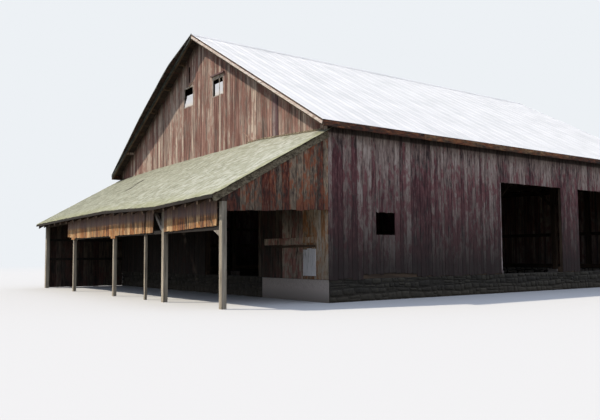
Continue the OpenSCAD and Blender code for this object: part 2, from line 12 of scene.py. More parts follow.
import bmesh
import bpy
import numpy as np
from mathutils import Matrix, Vector

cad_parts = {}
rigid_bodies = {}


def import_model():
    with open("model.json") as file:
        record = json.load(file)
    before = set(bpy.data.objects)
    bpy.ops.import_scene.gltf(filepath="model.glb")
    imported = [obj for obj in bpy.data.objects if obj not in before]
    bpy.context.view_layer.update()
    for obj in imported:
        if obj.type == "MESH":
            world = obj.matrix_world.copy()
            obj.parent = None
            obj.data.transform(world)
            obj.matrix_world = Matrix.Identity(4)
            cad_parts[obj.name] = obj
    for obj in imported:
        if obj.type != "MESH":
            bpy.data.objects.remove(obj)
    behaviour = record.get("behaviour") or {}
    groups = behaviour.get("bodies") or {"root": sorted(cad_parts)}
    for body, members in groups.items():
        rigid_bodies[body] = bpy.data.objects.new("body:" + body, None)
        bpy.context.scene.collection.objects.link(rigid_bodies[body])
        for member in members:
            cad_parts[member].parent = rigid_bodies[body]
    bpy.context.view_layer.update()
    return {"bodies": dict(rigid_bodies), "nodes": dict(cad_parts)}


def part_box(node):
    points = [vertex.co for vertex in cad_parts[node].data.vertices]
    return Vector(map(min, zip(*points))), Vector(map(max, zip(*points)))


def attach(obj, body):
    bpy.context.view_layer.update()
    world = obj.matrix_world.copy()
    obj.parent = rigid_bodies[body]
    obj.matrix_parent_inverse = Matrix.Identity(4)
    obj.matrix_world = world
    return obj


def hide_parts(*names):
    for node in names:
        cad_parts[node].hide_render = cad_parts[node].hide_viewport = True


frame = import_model()

# %% [markdown]
# The camera stands low, some way off the right front corner of the barn. Its place and turn
# were solved from the corners of the gable, and it looks up by less than four degrees.

# %% Camera
CAMERA_PLACE = Vector((22.372, -19.779, 1.327))
CAMERA_YAW, CAMERA_PITCH, CAMERA_ROLL = 53.66, 3.86, -0.29
CAMERA_LENS_MM, SENSOR_MM, SEEN_TO_M = 40.52, 36, 900


def linked(name, data):
    """An object in the scene for some data."""
    thing = bpy.data.objects.new(name, data)
    bpy.context.scene.collection.objects.link(thing)
    return thing


def aim(yaw, pitch, roll):
    """The turn of a camera that looks along +Y at first, by angles in degrees."""
    turn = Matrix.Rotation(math.radians(yaw), 4, "Z") @ Matrix.Rotation(math.radians(90 + pitch), 4, "X")
    return turn @ Matrix.Rotation(math.radians(roll), 4, "Z")


camera = linked("camera", bpy.data.cameras.new("camera"))
camera.data.lens, camera.data.sensor_width, camera.data.clip_end = CAMERA_LENS_MM, SENSOR_MM, SEEN_TO_M
camera.matrix_world = Matrix.Translation(CAMERA_PLACE) @ aim(CAMERA_YAW, CAMERA_PITCH, CAMERA_ROLL)
bpy.context.scene.camera = camera
bpy.context.scene.view_settings.view_transform = "Standard"
print("camera at", tuple(CAMERA_PLACE))

# %% [markdown]
# All places come from the frame. A box gives the lowest and highest corner of a solid, in metres,
# so the faces of the walls, the eaves and the doorways are read from it and not typed again.

# %% Sizes read from the frame
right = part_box("right_wall_front")
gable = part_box("front_gable")
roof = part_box("roof_metal_right")
HALF_W, SIDING = right[1].x, right[1].x - right[0].x
INNER_W = HALF_W - SIDING
FRONT_Y, REAR_Y = gable[0].y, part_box("rear_wall")[1].y
SILL_Z, SIDE_TOP = right[0].z, right[1].z
ROOF_HALF, RIDGE_Z, ROOF_Y0, ROOF_Y1 = roof[1].x, roof[1].z, roof[0].y, roof[1].y
ROOF_SLOPE = 0.572
METAL_T, DECK_T, TRIM_T = 0.020, 0.025, 0.025
SLANT = math.hypot(1, ROOF_SLOPE)
EAVE_Z = RIDGE_Z - ROOF_HALF * ROOF_SLOPE
DECK_LOW = (METAL_T + DECK_T) * SLANT
SLOPE_COS, SLOPE_SIN = 1 / SLANT, ROOF_SLOPE / SLANT
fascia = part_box("eave_fascias")


def under_deck(x):
    """Height of the underside of the main roof's deck."""
    return EAVE_Z + (ROOF_HALF - abs(x)) * ROOF_SLOPE - DECK_LOW


print("eave", round(EAVE_Z, 3), "ridge", round(RIDGE_Z, 3), "walls", round(INNER_W, 3), round(HALF_W, 3))

# %% [markdown]
# Every colour is written as an sRGB hex value, the way a paint chart gives it. Blender's nodes
# work in linear light, so one function turns the value. One more function adds a node of any
# kind with its settings and links, which keeps each material short enough to read. Where a tree
# is built, put is that function for the tree at hand.

# %% Colour and node helpers
FAMILIES = ("GeometryNode", "FunctionNode", "ShaderNode", "Node")


def linear(shade):
    """An sRGB hex value as the linear colour that the nodes take."""
    parts = [int(shade[i:i + 2], 16) / 255 for i in (1, 3, 5)]
    return (*[c / 12.92 if c <= 0.04045 else ((c + 0.055) / 1.055) ** 2.4 for c in parts], 1)


def add(tree, kind, *values, named=None, stops=(), **settings):
    """A new node, by Blender's name for it without the family's prefix.

    A value is a number, a colour, a socket or a node, in the order of the sockets or by name. The
    stops of a colour ramp are pairs of a place between 0 and 1 and an sRGB hex value.
    """
    node = tree.nodes.new(next(family + kind for family in FAMILIES if hasattr(bpy.types, family + kind)))
    for key, value in settings.items():
        setattr(node, key, value)
    for key, value in [*enumerate(values), *(named or {}).items()]:
        if isinstance(value, bpy.types.Node):
            value = value.outputs[0]
        if isinstance(value, bpy.types.NodeSocket):
            tree.links.new(value, node.inputs[key])
        elif value is not None:
            node.inputs[key].default_value = value
    for _ in stops[2:]:
        node.color_ramp.elements.new(1)
    for k, (place, shade) in enumerate(stops):
        node.color_ramp.elements[k].position = place
        node.color_ramp.elements[k].color = linear(shade)
    return node


def new_material(name):
    """An empty material, the function that puts nodes into it, and the place of each point of the surface."""
    material = bpy.data.materials.new(name)
    material.use_nodes = True
    material.node_tree.nodes.clear()
    put = partial(add, material.node_tree)
    return material, put, put("TexCoord").outputs["Object"]


def finished(material, shader):
    """The material with its shader on its output."""
    add(material.node_tree, "OutputMaterial", shader)
    return material


def along_grain(put, place, along, patterns):
    """Noises drawn out along one axis, 0 for X, 1 for Y and 2 for Z.

    A pattern has its lumps for each metre across the grain and along it, and its detail.
    """
    noises = []
    for across_per_m, along_per_m, detail in patterns:
        scale = [across_per_m] * 3
        scale[along] = along_per_m
        drawn_out = put("Mapping", place, named={"Scale": scale})
        noises.append(put("TexNoise", drawn_out, named={"Scale": 1.0, "Detail": detail, "Roughness": 0.65}))
    return noises


# %% [markdown]
# Barn siding is rough sawn softwood, painted red once and left to the weather for decades.
# The rain takes the soft wood between the rings, so the grain stands up in streaks along the
# board. Paint stays longest under the eaves and in patches. Each board weathers by itself, so
# every board carries its own number, "tone", and the noise is moved by it from board to board.
# The real streaks are 3 to 10 mm wide. From across the yard only streaks of 30 to 80 mm show,
# so two noises are drawn at those widths and only the finest one feeds the bump.

# %% Finish of old boards
STREAKS_PER_M, FIBRES_PER_M, FLAKES_PER_M, PATCHES_PER_M, GRAIN_PER_M = 13, 34, 8, 1.1, 90
STREAK_LENGTH, FIBRE_LENGTH, FLAKE_LENGTH, PATCH_LENGTH, GRAIN_LENGTH = 0.9, 0.5, 0.28, 1.4, 0.3
TONE_SHIFT = (57.0, 83.0, 41.0)
WOOD_STOPS, PAINT_STOPS = (0.57, 0.69, 0.80, 0.93), (0.60, 0.75, 0.88)
CRACK_DARK = "#2B2523"
PAINT_EDGE, PAINT_SHARE, WORN_SHARE, CRACK_SHARE, STAIN_SHIFT, WOOD_ROUGH = 0.06, 0.88, 0.5, 0.75, 0.9, 0.86


def old_boards(name, wood, paint, cover, along=2, stretch=1.0, mottle=0.34, foot=None, head=None, bare=None,
               dark=CRACK_DARK):
    """Bare wood in several greys under what is left of a coat of paint, which covers a share of it.

    Stretch lengthens the streaks, and mottle gives more weight to blotches and less to streaks.
    The foot darkens the boards towards the bottom, from one height to another, with a strength.
    The head is a band of painted shade that starts at one height and ends at another, with a
    strength, and also follows a roof with the given slope; then come the raggedness of its edge
    and its colour. The paint is thinner between the heights in bare and gone above them.
    """
    material, put, at = new_material(name)
    tone = put("Attribute", attribute_name="tone").outputs["Fac"]
    moved = put("VectorMath", put("CombineXYZ", tone, tone, tone), TONE_SHIFT, operation="MULTIPLY")
    place = put("VectorMath", at, moved, operation="ADD")
    streaks, fibres, flakes, patches, grain = along_grain(put, place, along, (
        (STREAKS_PER_M, 1 / (STREAK_LENGTH * stretch), 5.0), (FIBRES_PER_M, 1 / (FIBRE_LENGTH * stretch), 3.0),
        (FLAKES_PER_M, 1 / FLAKE_LENGTH, 5.0), (PATCHES_PER_M, 1 / PATCH_LENGTH, 3.0),
        (GRAIN_PER_M, 1 / GRAIN_LENGTH, 2.0)))
    axes = put("SeparateXYZ", at).outputs
    aged, held = -0.28, 0.07
    for noise, share in ((tone, 0.22), (flakes, mottle), (streaks, 1.34 - mottle), (fibres, 0.5)):
        aged = put("Math", noise, share, aged, operation="MULTIPLY_ADD")
    shade = put("ValToRGB", aged, stops=[*zip(WOOD_STOPS, wood)])
    coat = put("ValToRGB", aged, stops=[*zip(PAINT_STOPS, paint)])
    for noise, share in ((tone, -0.14), (streaks, 0.74 - mottle), (flakes, 0.46 + mottle), (patches, 1.0)):
        held = put("Math", noise, share, held, operation="MULTIPLY_ADD")
    if bare:
        thinner = put("MapRange", axes[2], *bare, 0.0, 0.22)
        held = put("Math", held, thinner, operation="SUBTRACT")
    middle = 1.1 + (0.5 - cover) * 0.5
    painted = put("MapRange", held, middle - PAINT_EDGE, middle + PAINT_EDGE, 0.0, PAINT_SHARE)
    worn = put("MapRange", fibres, 0.60, 0.70, 0.0, WORN_SHARE)
    cracks = put("MapRange", fibres, 0.31, 0.41, CRACK_SHARE, 0.0)
    layers = [(painted, coat), (worn, linear(wood[3])), (cracks, linear(dark))]
    if foot:
        height = put("Math", streaks, -STAIN_SHIFT, axes[2], operation="MULTIPLY_ADD")
        stain_and_shade = put("MapRange", height, foot[0] - STAIN_SHIFT / 2, foot[1] - STAIN_SHIFT / 2, foot[2], 0.0)
        layers.append((stain_and_shade, linear(dark)))
    # painted shade: the head band gives the boards the darkness or tint of the shade under a roof or eave
    if head:
        low, high, strength, slope, ragged, colour = head
        from_ridge = put("Math", axes[0], operation="ABSOLUTE")
        height = put("Math", from_ridge, slope, axes[2], operation="MULTIPLY_ADD")
        height = put("Math", streaks, ragged, height, operation="MULTIPLY_ADD")
        stain_and_shade = put("MapRange", height, low + ragged / 2, high + ragged / 2, 0.0, strength)
        layers.append((stain_and_shade, linear(colour)))
    for amount, colour in layers:
        shade = put("MixRGB", amount, shade, colour)
    bump = put("Bump", named={"Strength": 0.6, "Distance": 0.004, "Height": grain})
    return finished(material, put("BsdfPrincipled", named={
        "Base Color": shade, "Roughness": WOOD_ROUGH, "IOR": 1.45, "Normal": bump}))


EAVE_SHADE_Z = fascia[0].z - 0.03
# The gable's head band is painted shade: the boards go dark just under the roof's edge, where the overhang shades
# them.
gable_finish = old_boards(
    "weathered_red_softwood", ("#66554D", "#957E71", "#B39F90", "#DDCBB8"), ("#70483E", "#8F6559", "#A67D6F"), 0.50,
    stretch=1.9, mottle=0.24, foot=(0.6, 1.6, 0.45),
    head=(under_deck(0) - 0.34, under_deck(0) - 0.08, 0.6, ROOF_SLOPE, 0.6, CRACK_DARK))
# The long walls' head band is painted shade, a dark line under the eave. The foot makes the boards darker towards the
# ground over most of the wall's height.
side_finish = old_boards(
    "weathered_grey_softwood", ("#4E3F3E", "#9A847C", "#BCA598", "#E0CFC2"), ("#5E3238", "#83494E", "#9A5A5C"), 0.56,
    stretch=0.75, mottle=0.55, foot=(1.0, 4.5, 0.94), bare=(3.6, 4.9),
    head=(EAVE_SHADE_Z - 0.05, EAVE_SHADE_Z, 0.8, 0.0, 0.06, CRACK_DARK))
lean_end_finish = old_boards(
    "red_end_boards", ("#382C26", "#66574B", "#8C7A66", "#BEA88C"), ("#4A2018", "#84402C", "#AE623E"), 0.56,
    stretch=0.5, mottle=0.7, foot=(2.2, 3.4, 0.6))
# The hanging boards' head band is partly sheltered weathering and partly painted shade: above the line where the eave
# already shades them, they are tinted the mauve-grey of that shade.
hanging_finish = old_boards(
    "hanging_softwood", ("#624A3C", "#A4805C", "#D2A472", "#F2D2A0"), ("#85533A", "#B87A46", "#CC8E54"), 0.45,
    head=(2.34, 2.44, 0.7, 0.0, 0.12, "#8C7B79"))
frieze_finish = old_boards(
    "mauve_grey_boards", ("#4E4240", "#857472", "#A8968F", "#D2C4BA"), ("#5E403C", "#805C54", "#987268"), 0.45,
    stretch=0.5, mottle=0.7)
# Painted shade: nearly black boards for the deep shade under the lean-to, left of its doorway.
painted_shade_finish = old_boards(
    "painted_shade_boards", ("#151210", "#211C19", "#2A2420", "#3A322C"), ("#261815", "#301F1A", "#38251F"), 0.35)
# Painted shade: dark boards for the lean-to's left end and for the wall just right of its doorway, which stand in
# shade.
left_end_finish = old_boards(
    "left_end_boards", ("#241F1B", "#3C342D", "#50463C", "#6C6052"), ("#3A2620", "#4C332C", "#5C3E36"), 0.4)
# The shaded boards' head band is painted shade: the wall under the lean-to goes darker above about 1.9 m.
shaded_finish = old_boards(
    "shaded_boards", ("#564A40", "#A39280", "#CAB8A4", "#EADBC8"), ("#74463E", "#A86E62", "#BE887A"), 0.5,
    stretch=0.6, mottle=0.62, foot=(0.7, 1.5, 0.3), head=(1.9, 2.6, 0.62, 0.0, 0.9, CRACK_DARK))
# Painted light: paler boards at the lean-to's open end, where light comes in under its roof.
painted_light_corner_finish = old_boards(
    "painted_light_corner_boards", ("#8E765E", "#D8BC9A", "#EAD6BA", "#F6ECDC"), ("#A4683A", "#C88A54", "#D89E6C"), 0.45,
    stretch=0.6, mottle=0.62, foot=(0.9, 2.3, 0.45))
dark_board_finish = old_boards(
    "dark_old_boards", ("#463838", "#68585A", "#7E6C6A", "#9C8C86"), ("#52383A", "#684A4C", "#7A5A5A"), 0.6,
    stretch=1.9)
barge_finish = old_boards(
    "olive_grey_boards", ("#38322A", "#645A48", "#8A7E66", "#B6AA8E"), ("#463C2E", "#685C48", "#82745C"), 0.4,
    along=1, stretch=0.12, mottle=1.0)
print("board finishes:", len(bpy.data.materials))

# %% [markdown]
# Sawn frame timber never had paint. It is brown where the roof kept it dry, with the grain
# along each beam. The posts and plates of the lean-to stand in the weather and have gone grey.
# A finish is made for each direction that the grain can run.

# %% Finish of frame timber


def sawn_timber(name, along, shades, roughness=0.8):
    """Unpainted timber with its grain along one axis, 0 for X, 1 for Y and 2 for Z."""
    material, put, place = new_material(name)
    rings, stains, checks, grain = along_grain(
        put, place, along, ((14, 0.7, 5.0), (1.6, 0.64, 3.0), (30, 0.9, 2.0), (60, 3.0, 3.0)))
    depth = put("Math", stains, 0.5, rings, operation="MULTIPLY_ADD")
    shade = put("ValToRGB", depth, stops=[*zip((0.50, 0.72, 0.92), shades)])
    checks = put("MapRange", checks, 0.28, 0.38, 0.7, 0.0)
    shade = put("MixRGB", checks, shade, linear("#241E1A"))
    bump = put("Bump", named={"Strength": 0.7, "Distance": 0.006, "Height": grain})
    return finished(material, put("BsdfPrincipled", named={
        "Base Color": shade, "Roughness": roughness, "IOR": 1.45, "Normal": bump}))


BROWN = ("#2E241D", "#4B3C2F", "#6B5844")
GREYED = ("#6E665E", "#A0978B", "#C8C0B4")
brown = [sawn_timber("dry_timber_" + axis, k, BROWN) for k, axis in enumerate("xyz")]
greyed = sawn_timber("greyed_timber_z", 2, GREYED, 0.88)


def dress(material, *names):
    """Gives a finish to solids of the frame, whose shapes stay as they are."""
    for name in names:
        for place in frame["nodes"][name].material_slots:
            place.material = material


dress(brown[2], "wall_posts", "inner_posts", "queen_posts", "knee_braces")
dress(brown[0], "tie_beams", "gable_sills", "gable_girts", "rafters_left", "rafters_right")
dress(brown[1], "side_sills", "purlins", "wall_plates", "side_girts", "door_lintels", "ridge_board")
dress(sawn_timber("sun_bleached_posts", 2, ("#776E62", "#B2A793", "#D6CBB5"), 0.88), "lean_to_posts")
dress(greyed, "lean_to_braces")
dress(brown[0], "lean_to_plate", "lean_to_ledger")
# Painted shade: near-black timber for the lean-to's girts and the strip at its eave, where they stand in shade.
painted_shade_rail = sawn_timber("painted_shade_rails", 0, ("#17120F", "#231C17", "#30271F"))
dress(painted_shade_rail, "lean_to_girts")
dress(brown[1], "lean_to_rafters")
print("timber finishes on the frame")

# %% [markdown]
# Boards, stones and roof sheets are all set out the same way: a row of pieces, each with its
# own width, its two ends and its own small faults. So one Geometry Nodes tree lays them all.
# Each piece is one vertex of a carrier mesh with attributes for its sizes. The tree puts a
# pattern on every vertex, and then moves each corner of the pattern to its place by the
# pattern's own coordinates, which the attribute "corner" keeps between 0 and 1. Noise bows the
# pieces, moves their edges and splinters their lower ends. Python only says how the pieces
# run round the windows and doorways.

# %% Tree that lays out pieces
PIECE = ("left", "width", "low", "top_left", "top_right", "tone", "sunk", "lean")
FLOAT, OBJECT, MATERIAL = "NodeSocketFloat", "NodeSocketObject", "NodeSocketMaterial"
GEOMETRY, INTEGER, VECTOR = "NodeSocketGeometry", "NodeSocketInt", "NodeSocketVector"
OWN_NOISE, SPLINTERS_PER_M, SPLINTERED_END = 91.0, 24.0, 0.004


def new_tree(name, **inputs):
    """A Geometry Nodes tree with named inputs, the function that puts nodes into it, and its input sockets."""
    tree = bpy.data.node_groups.new(name, "GeometryNodeTree")
    tree.interface.new_socket("Geometry", in_out="OUTPUT", socket_type=GEOMETRY)
    for label, kind in {"Geometry": GEOMETRY, **inputs}.items():
        tree.interface.new_socket(label, in_out="INPUT", socket_type=kind)
    put = partial(add, tree)
    return tree, put, {socket.name: socket for socket in put("GroupInput").outputs if socket.name}


def end_tree(put, geometry, material):
    """Ends a tree in real geometry with its material."""
    real = put("RealizeInstances", geometry)
    put("GroupOutput", put("SetMaterial", real, named={"Material": material}))


def layout_tree():
    """Puts a pattern on each vertex and stretches it to that piece's own sizes."""
    tree, put, given = new_tree("lay_out_pieces", Pattern=OBJECT, Thickness=FLOAT, Warp=FLOAT, Wander=FLOAT,
                                Rag=FLOAT, Pitch=FLOAT, Finish=MATERIAL)
    pattern = put("ObjectInfo", given["Pattern"]).outputs["Geometry"]
    laid = put("InstanceOnPoints", given["Geometry"], named={"Instance": pattern})
    laid = put("RealizeInstances", laid)
    corner = put("InputNamedAttribute", "corner", data_type="FLOAT_VECTOR")
    corner = put("SeparateXYZ", corner).outputs
    left, width, low, top_left, top_right, tone, sunk, lean = [put("InputNamedAttribute", field) for field in PIECE]
    rise = put("Math", top_right, top_left, operation="SUBTRACT")
    top = put("Math", rise, corner[0], top_left, operation="MULTIPLY_ADD")
    length = put("Math", top, low, operation="SUBTRACT")
    along = put("Math", length, corner[2], operation="MULTIPLY")
    leaning = put("Math", along, lean, left, operation="MULTIPLY_ADD")
    across = put("Math", corner[0], width, leaning, operation="MULTIPLY_ADD")
    depth = put("Math", corner[1], given["Thickness"], sunk, operation="MULTIPLY_ADD")
    height = put("Math", along, low, operation="ADD")
    place = put("CombineXYZ", across, depth, height)
    own = put("Math", tone, OWN_NOISE, operation="MULTIPLY")
    waves = put("TexNoise", place, own, given["Pitch"], 2.0, noise_dimensions="4D")
    waves = put("VectorMath", waves.outputs[1], (0.5, 0.5, 0.5), operation="SUBTRACT")
    reach = put("CombineXYZ", given["Wander"], given["Warp"], 0.0)
    reach = put("VectorMath", reach, (2.0, 2.0, 2.0), operation="MULTIPLY")
    place = put("VectorMath", waves, reach, place, operation="MULTIPLY_ADD")
    splinters = put("TexNoise", place, own, SPLINTERS_PER_M, 1.0, noise_dimensions="4D")
    splinters = put("Math", splinters, 0.5, operation="SUBTRACT")
    at_end = put("MapRange", corner[2], 0.0, SPLINTERED_END, 2.0, 0.0)
    splinters = put("Math", splinters, at_end, operation="MULTIPLY")
    splinters = put("Math", splinters, given["Rag"], operation="MULTIPLY")
    place = put("VectorMath", place, put("CombineXYZ", 0.0, 0.0, splinters), operation="ADD")
    moved = put("SetPosition", laid, named={"Position": place})
    end_tree(put, moved, given["Finish"])
    return tree


LAY_OUT = layout_tree()
print("tree with", len(LAY_OUT.nodes), "nodes")

# %% [markdown]
# A tree runs as a modifier on its carrier. Its inputs are set by the socket's identifier before
# Blender first evaluates it, and the evaluated result is copied out as a plain mesh.

# %% Running a tree


def mesh_of(name, points, faces=(), finish=None):
    """A mesh from its points and faces."""
    mesh = bpy.data.meshes.new(name)
    mesh.from_pydata(points, [], faces)
    if finish:
        mesh.materials.append(finish)
    return mesh


def carrier_of(rows):
    """A mesh with one vertex for each piece, which carries the piece's sizes."""
    mesh = mesh_of("carrier", [(0, 0, 0)] * len(rows))
    for k, field in enumerate(PIECE):
        layer = mesh.attributes.new(field, "FLOAT", "POINT")
        layer.data.foreach_set("value", [row[k] for row in rows])
    return mesh


def grown(tree, mesh, **values):
    """The plain mesh that a tree makes from a carrier mesh."""
    carrier = linked("carrier", mesh)
    modifier = carrier.modifiers.new("tree", "NODES")
    modifier.node_group = tree
    for item in tree.interface.items_tree:
        if item.in_out == "INPUT" and item.name in values:
            modifier[item.identifier] = values[item.name]
    graph = bpy.context.evaluated_depsgraph_get()
    made = bpy.data.meshes.new_from_object(carrier.evaluated_get(graph), depsgraph=graph)
    bpy.data.objects.remove(carrier)
    bpy.data.meshes.remove(mesh)
    return made


def piece_from(name, meshes, slot, *stands_for):
    """One piece of the barn made of several meshes, at the origin, riding with the body."""
    parts = [linked(name, mesh) for mesh in meshes]
    piece = parts[0]
    if len(parts) > 1:
        with bpy.context.temp_override(active_object=piece, object=piece, selected_editable_objects=parts):
            bpy.ops.object.join()
    piece.name = name
    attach(piece, next(iter(frame["bodies"])))
    if stands_for:
        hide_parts(*stands_for)
    print(f"{name}: {len(piece.data.polygons)} faces")
    return piece


def placed(origin, inward, along):
    """The frame of a wall or slope: pieces run along, and their depth goes inward from the outer face."""
    y, z = Vector(inward).normalized(), Vector(along).normalized()
    turn = Matrix((y.cross(z), y, z)).transposed().to_4x4()
    return Matrix.Translation(origin) @ turn


UP = (0, 0, 1)
TO_REAR, TO_FRONT, TO_LEFT, TO_RIGHT = (0, 1, 0), (0, -1, 0), (-1, 0, 0), (1, 0, 0)
ON_FRONT, ON_REAR = placed((0, FRONT_Y, 0), TO_REAR, UP), placed((0, REAR_Y, 0), TO_FRONT, UP)
ON_RIGHT, ON_LEFT = placed((HALF_W, 0, 0), TO_LEFT, UP), placed((-HALF_W, 0, 0), TO_RIGHT, UP)

# %% [markdown]
# The pattern of a board is a plank one unit wide, thick and long, with its arrises taken off.
# More rings of points near its lower end let that end splinter, and the others let it bow.

# %% Patterns for boards, stones and roof sheets
BOARD_RINGS = (0, SPLINTERED_END, 0.02, 0.1, 0.25, 0.4, 0.55, 0.7, 0.85, 1)
BOARD_SECTION = ((0, 1), (0, 0.2), (0.03, 0), (0.22, 0), (0.4, 0), (0.62, 0), (0.8, 0), (0.97, 0), (1, 0.2), (1, 1))


def pattern(name, points, faces, smooth=False):
    """An object that is only a pattern. It keeps its own coordinates in the attribute corner."""
    mesh = mesh_of(name, points, faces)
    layer = mesh.attributes.new("corner", "FLOAT_VECTOR", "POINT")
    layer.data.foreach_set("vector", [c for point in points for c in point])
    if smooth:
        mesh.shade_smooth()
    return bpy.data.objects.new(name, mesh)


def prism(section, rings):
    """Points and faces of a section, given anticlockwise from above, that is drawn up through rings."""
    n = len(section)
    points = [(x, y, z) for z in rings for x, y in section]
    faces = [tuple(range(n))[::-1], tuple(range(n * (len(rings) - 1), n * len(rings)))]
    for ring in range(len(rings) - 1):
        base = ring * n
        faces += [(base + k, base + (k + 1) % n, base + n + (k + 1) % n, base + n + k) for k in range(n)]
    return points, faces


PLANK = pattern("plank", *prism(BOARD_SECTION, BOARD_RINGS))
print("plank:", len(PLANK.data.polygons), "faces")

# %% [markdown]
# Barn boards are sawn from whatever logs came, so their widths differ from 120 to 270 mm.
# They shrink as they dry, which opens a dark gap of a few millimetres beside each one. A run of
# boards starts afresh at the edge of each doorway or window, and a board over an opening is cut
# into a lower and an upper piece.

# %% Setting out boards
CLEAR, FIT, SHORTEST, JOINT_REACH, BOWS_PER_M = 0.004, 0.003, 0.03, 0.6, 1.3
NARROW, MEDIUM, CLOSED = (0.12, 0.22), (0.13, 0.24), (0.0005, 0.003)


def board_rows(seed, start, end, low, top, holes=(), joint=None, widths=(0.16, 0.27), gaps=(0.004, 0.013),
               uneven=0.0):
    """The pieces of a run of boards. A hole is (left, right, bottom, top), and joint is a height or None.

    Low and top are heights, or functions that give the height at each place along the run.
    """
    low, top = [at if callable(at) else lambda u, at=at: at for at in (low, top)]
    rng = random.Random(seed)
    edges = sorted({start, end, *[e for hole in holes for e in hole[:2] if start < e < end]})
    rows = []
    for a, b in zip(edges, edges[1:]):
        parts = [rng.uniform(*widths) for _ in range(max(1, round((b - a) / (sum(widths) / 2))))]
        places = a + np.concatenate([[0], np.cumsum(parts)]) / sum(parts) * (b - a)
        for left, right in zip(places, places[1:]):
            middle = (left + right) / 2
            gap = min(rng.uniform(*gaps), (right - left) * 0.3)
            stops = [low(middle) + rng.uniform(-uneven, uneven / 2)]
            for hole in sorted(holes, key=lambda h: h[2]):
                if hole[0] < middle < hole[1]:
                    stops += [hole[2], hole[3]]
            spans = [list(pair) for pair in zip(stops[::2], [*stops[1::2], None])]
            cut = joint and joint + rng.uniform(-0.05, 0.05)
            for k, (bottom, high) in enumerate(spans):
                if joint and bottom < joint - JOINT_REACH and (high is None or high > joint + JOINT_REACH):
                    spans[k:k + 1] = [[bottom, cut], [cut + CLEAR, high]]
                    break
            for bottom, high in spans:
                tops = (high, high) if high is not None else (top(left), top(right))
                if min(tops) - bottom > SHORTEST:
                    rows.append((left + gap / 2, right - left - gap, bottom, *tops, rng.random(),
                                 rng.uniform(-0.002, 0.003), rng.uniform(-1, 1) * gap * 0.12))
    return rows


def bay_rows(seed, stops, start, end, clear, **kind):
    """The pieces of boards that run along several bays, a new set in each bay."""
    return [row for k, (a, b) in enumerate(zip(stops, stops[1:]))
            for row in board_rows(seed + k, start, end, a, b - clear, **kind)]


STIFF = {"warp": 0.0, "wander": 0.001, "rag": 0.0}


def boards(rows, place, finish, rag=0.02, thickness=SIDING, warp=0.004, wander=0.002, pattern=PLANK):
    """The mesh of a run of boards, in its place on the barn."""
    mesh = grown(LAY_OUT, carrier_of(rows), Pattern=pattern, Thickness=thickness, Warp=warp, Wander=wander,
                 Rag=rag, Pitch=BOWS_PER_M, Finish=finish)
    mesh.transform(place)
    return mesh


def corners_of(node):
    """The corners of a solid of the frame."""
    return [v.co for v in frame["nodes"][node].data.vertices]


def levels(node, axis):
    """The different coordinates of a solid's corners along one axis, in order."""
    return sorted({round(corner[axis], 4) for corner in corners_of(node)})


SIDE_WINDOW = (*levels("right_wall_front", 1)[1:3], *levels("right_wall_front", 2)[1:3])
DOOR_HEAD = levels("right_wall_pier", 2)[1]
DOOR_1 = (levels("right_wall_front", 1)[3], levels("right_wall_pier", 1)[0])
DOOR_2 = (levels("right_wall_pier", 1)[1], levels("right_wall_rear", 1)[0])
FRONT_DOOR = levels("front_wall", 0)[1:3]
FRONT_DOOR_HEAD = levels("front_wall", 2)[1]
gable_x, gable_z = levels("front_gable", 0), levels("front_gable", 2)
GABLE_WINDOWS = [(gable_x[1], gable_x[4], *gable_z[2:4]), (gable_x[6], gable_x[7], *gable_z[2:4])]
MISSING_BOARD = (gable_x[2], gable_x[3], *gable_z[4:6])
BEHIND_LEAN_TO = 4.88
print("side window", SIDE_WINDOW, "gable windows", GABLE_WINDOWS, "gap", MISSING_BOARD)

# %% [markdown]
# The gable is one tall run of boards from the sill to the roof. The boards weren't long enough,
# so they are jointed end to end behind the lean-to's roof, where the rain can't reach the joint.
# The rear gable is the same wall without the lean-to's doorway.

# %% Boards of the two gables


def gable_top(u):
    """Height at which a gable board is cut under the roof's deck."""
    return under_deck(u) - CLEAR


def mirrored(hole):
    """A hole as it is seen from the other side of the wall."""
    return (-hole[1], -hole[0], *hole[2:])


doorway = (*FRONT_DOOR, SILL_Z - 1, FRONT_DOOR_HEAD)
front_rows = board_rows(11, -INNER_W, INNER_W, SILL_Z, gable_top,
                        [*GABLE_WINDOWS, MISSING_BOARD, doorway], joint=BEHIND_LEAN_TO, widths=NARROW)
DARK_BOARDS = (4.86, 5.16)
below = [row for row in front_rows if row[3] < BEHIND_LEAN_TO + 0.1 and row[2] < BEHIND_LEAN_TO]
above = [row for row in front_rows if row not in below]
old = [row for row in above if DARK_BOARDS[0] < row[0] + row[1] / 2 < DARK_BOARDS[1]]
runs = [([row for row in above if row not in old], gable_finish), (old, dark_board_finish)]
piece_from("front_gable_boards", [boards(rows, ON_FRONT, finish) for rows, finish in runs], "gable_boards",
           "front_gable")
# Under the lean-to the wall's boards change finish along it: near black and then dark as painted shade, then shaded,
# and paler at the open end as painted light.
LIT_X, PAINTED_LIGHT_X = 5.2, 6.35
RIGHT_OF_DOOR = (-INNER_W - 1, FRONT_DOOR[1] - 0.01, LIT_X, PAINTED_LIGHT_X, INNER_W)
runs = [([row for row in below if low <= row[0] < high], finish) for low, high, finish in zip(
    RIGHT_OF_DOOR, RIGHT_OF_DOOR[1:], (painted_shade_finish, left_end_finish, shaded_finish, painted_light_corner_finish))]
piece_from("front_wall_boards", [boards(rows, ON_FRONT, finish) for rows, finish in runs], "gable_boards",
           "front_wall")
rear_rows = board_rows(12, -INNER_W, INNER_W, SILL_Z, gable_top, [mirrored(h) for h in GABLE_WINDOWS],
                       joint=BEHIND_LEAN_TO, widths=NARROW, gaps=CLOSED)
piece_from("rear_gable_boards", [boards(rear_rows, ON_REAR, gable_finish)], "gable_boards", "rear_wall")

# %% [markdown]
# The long walls are grey where the paint is gone. Each board stops under the eave, and some of
# them have rotted back from the ground, so their lower ends are uneven and the stones show.

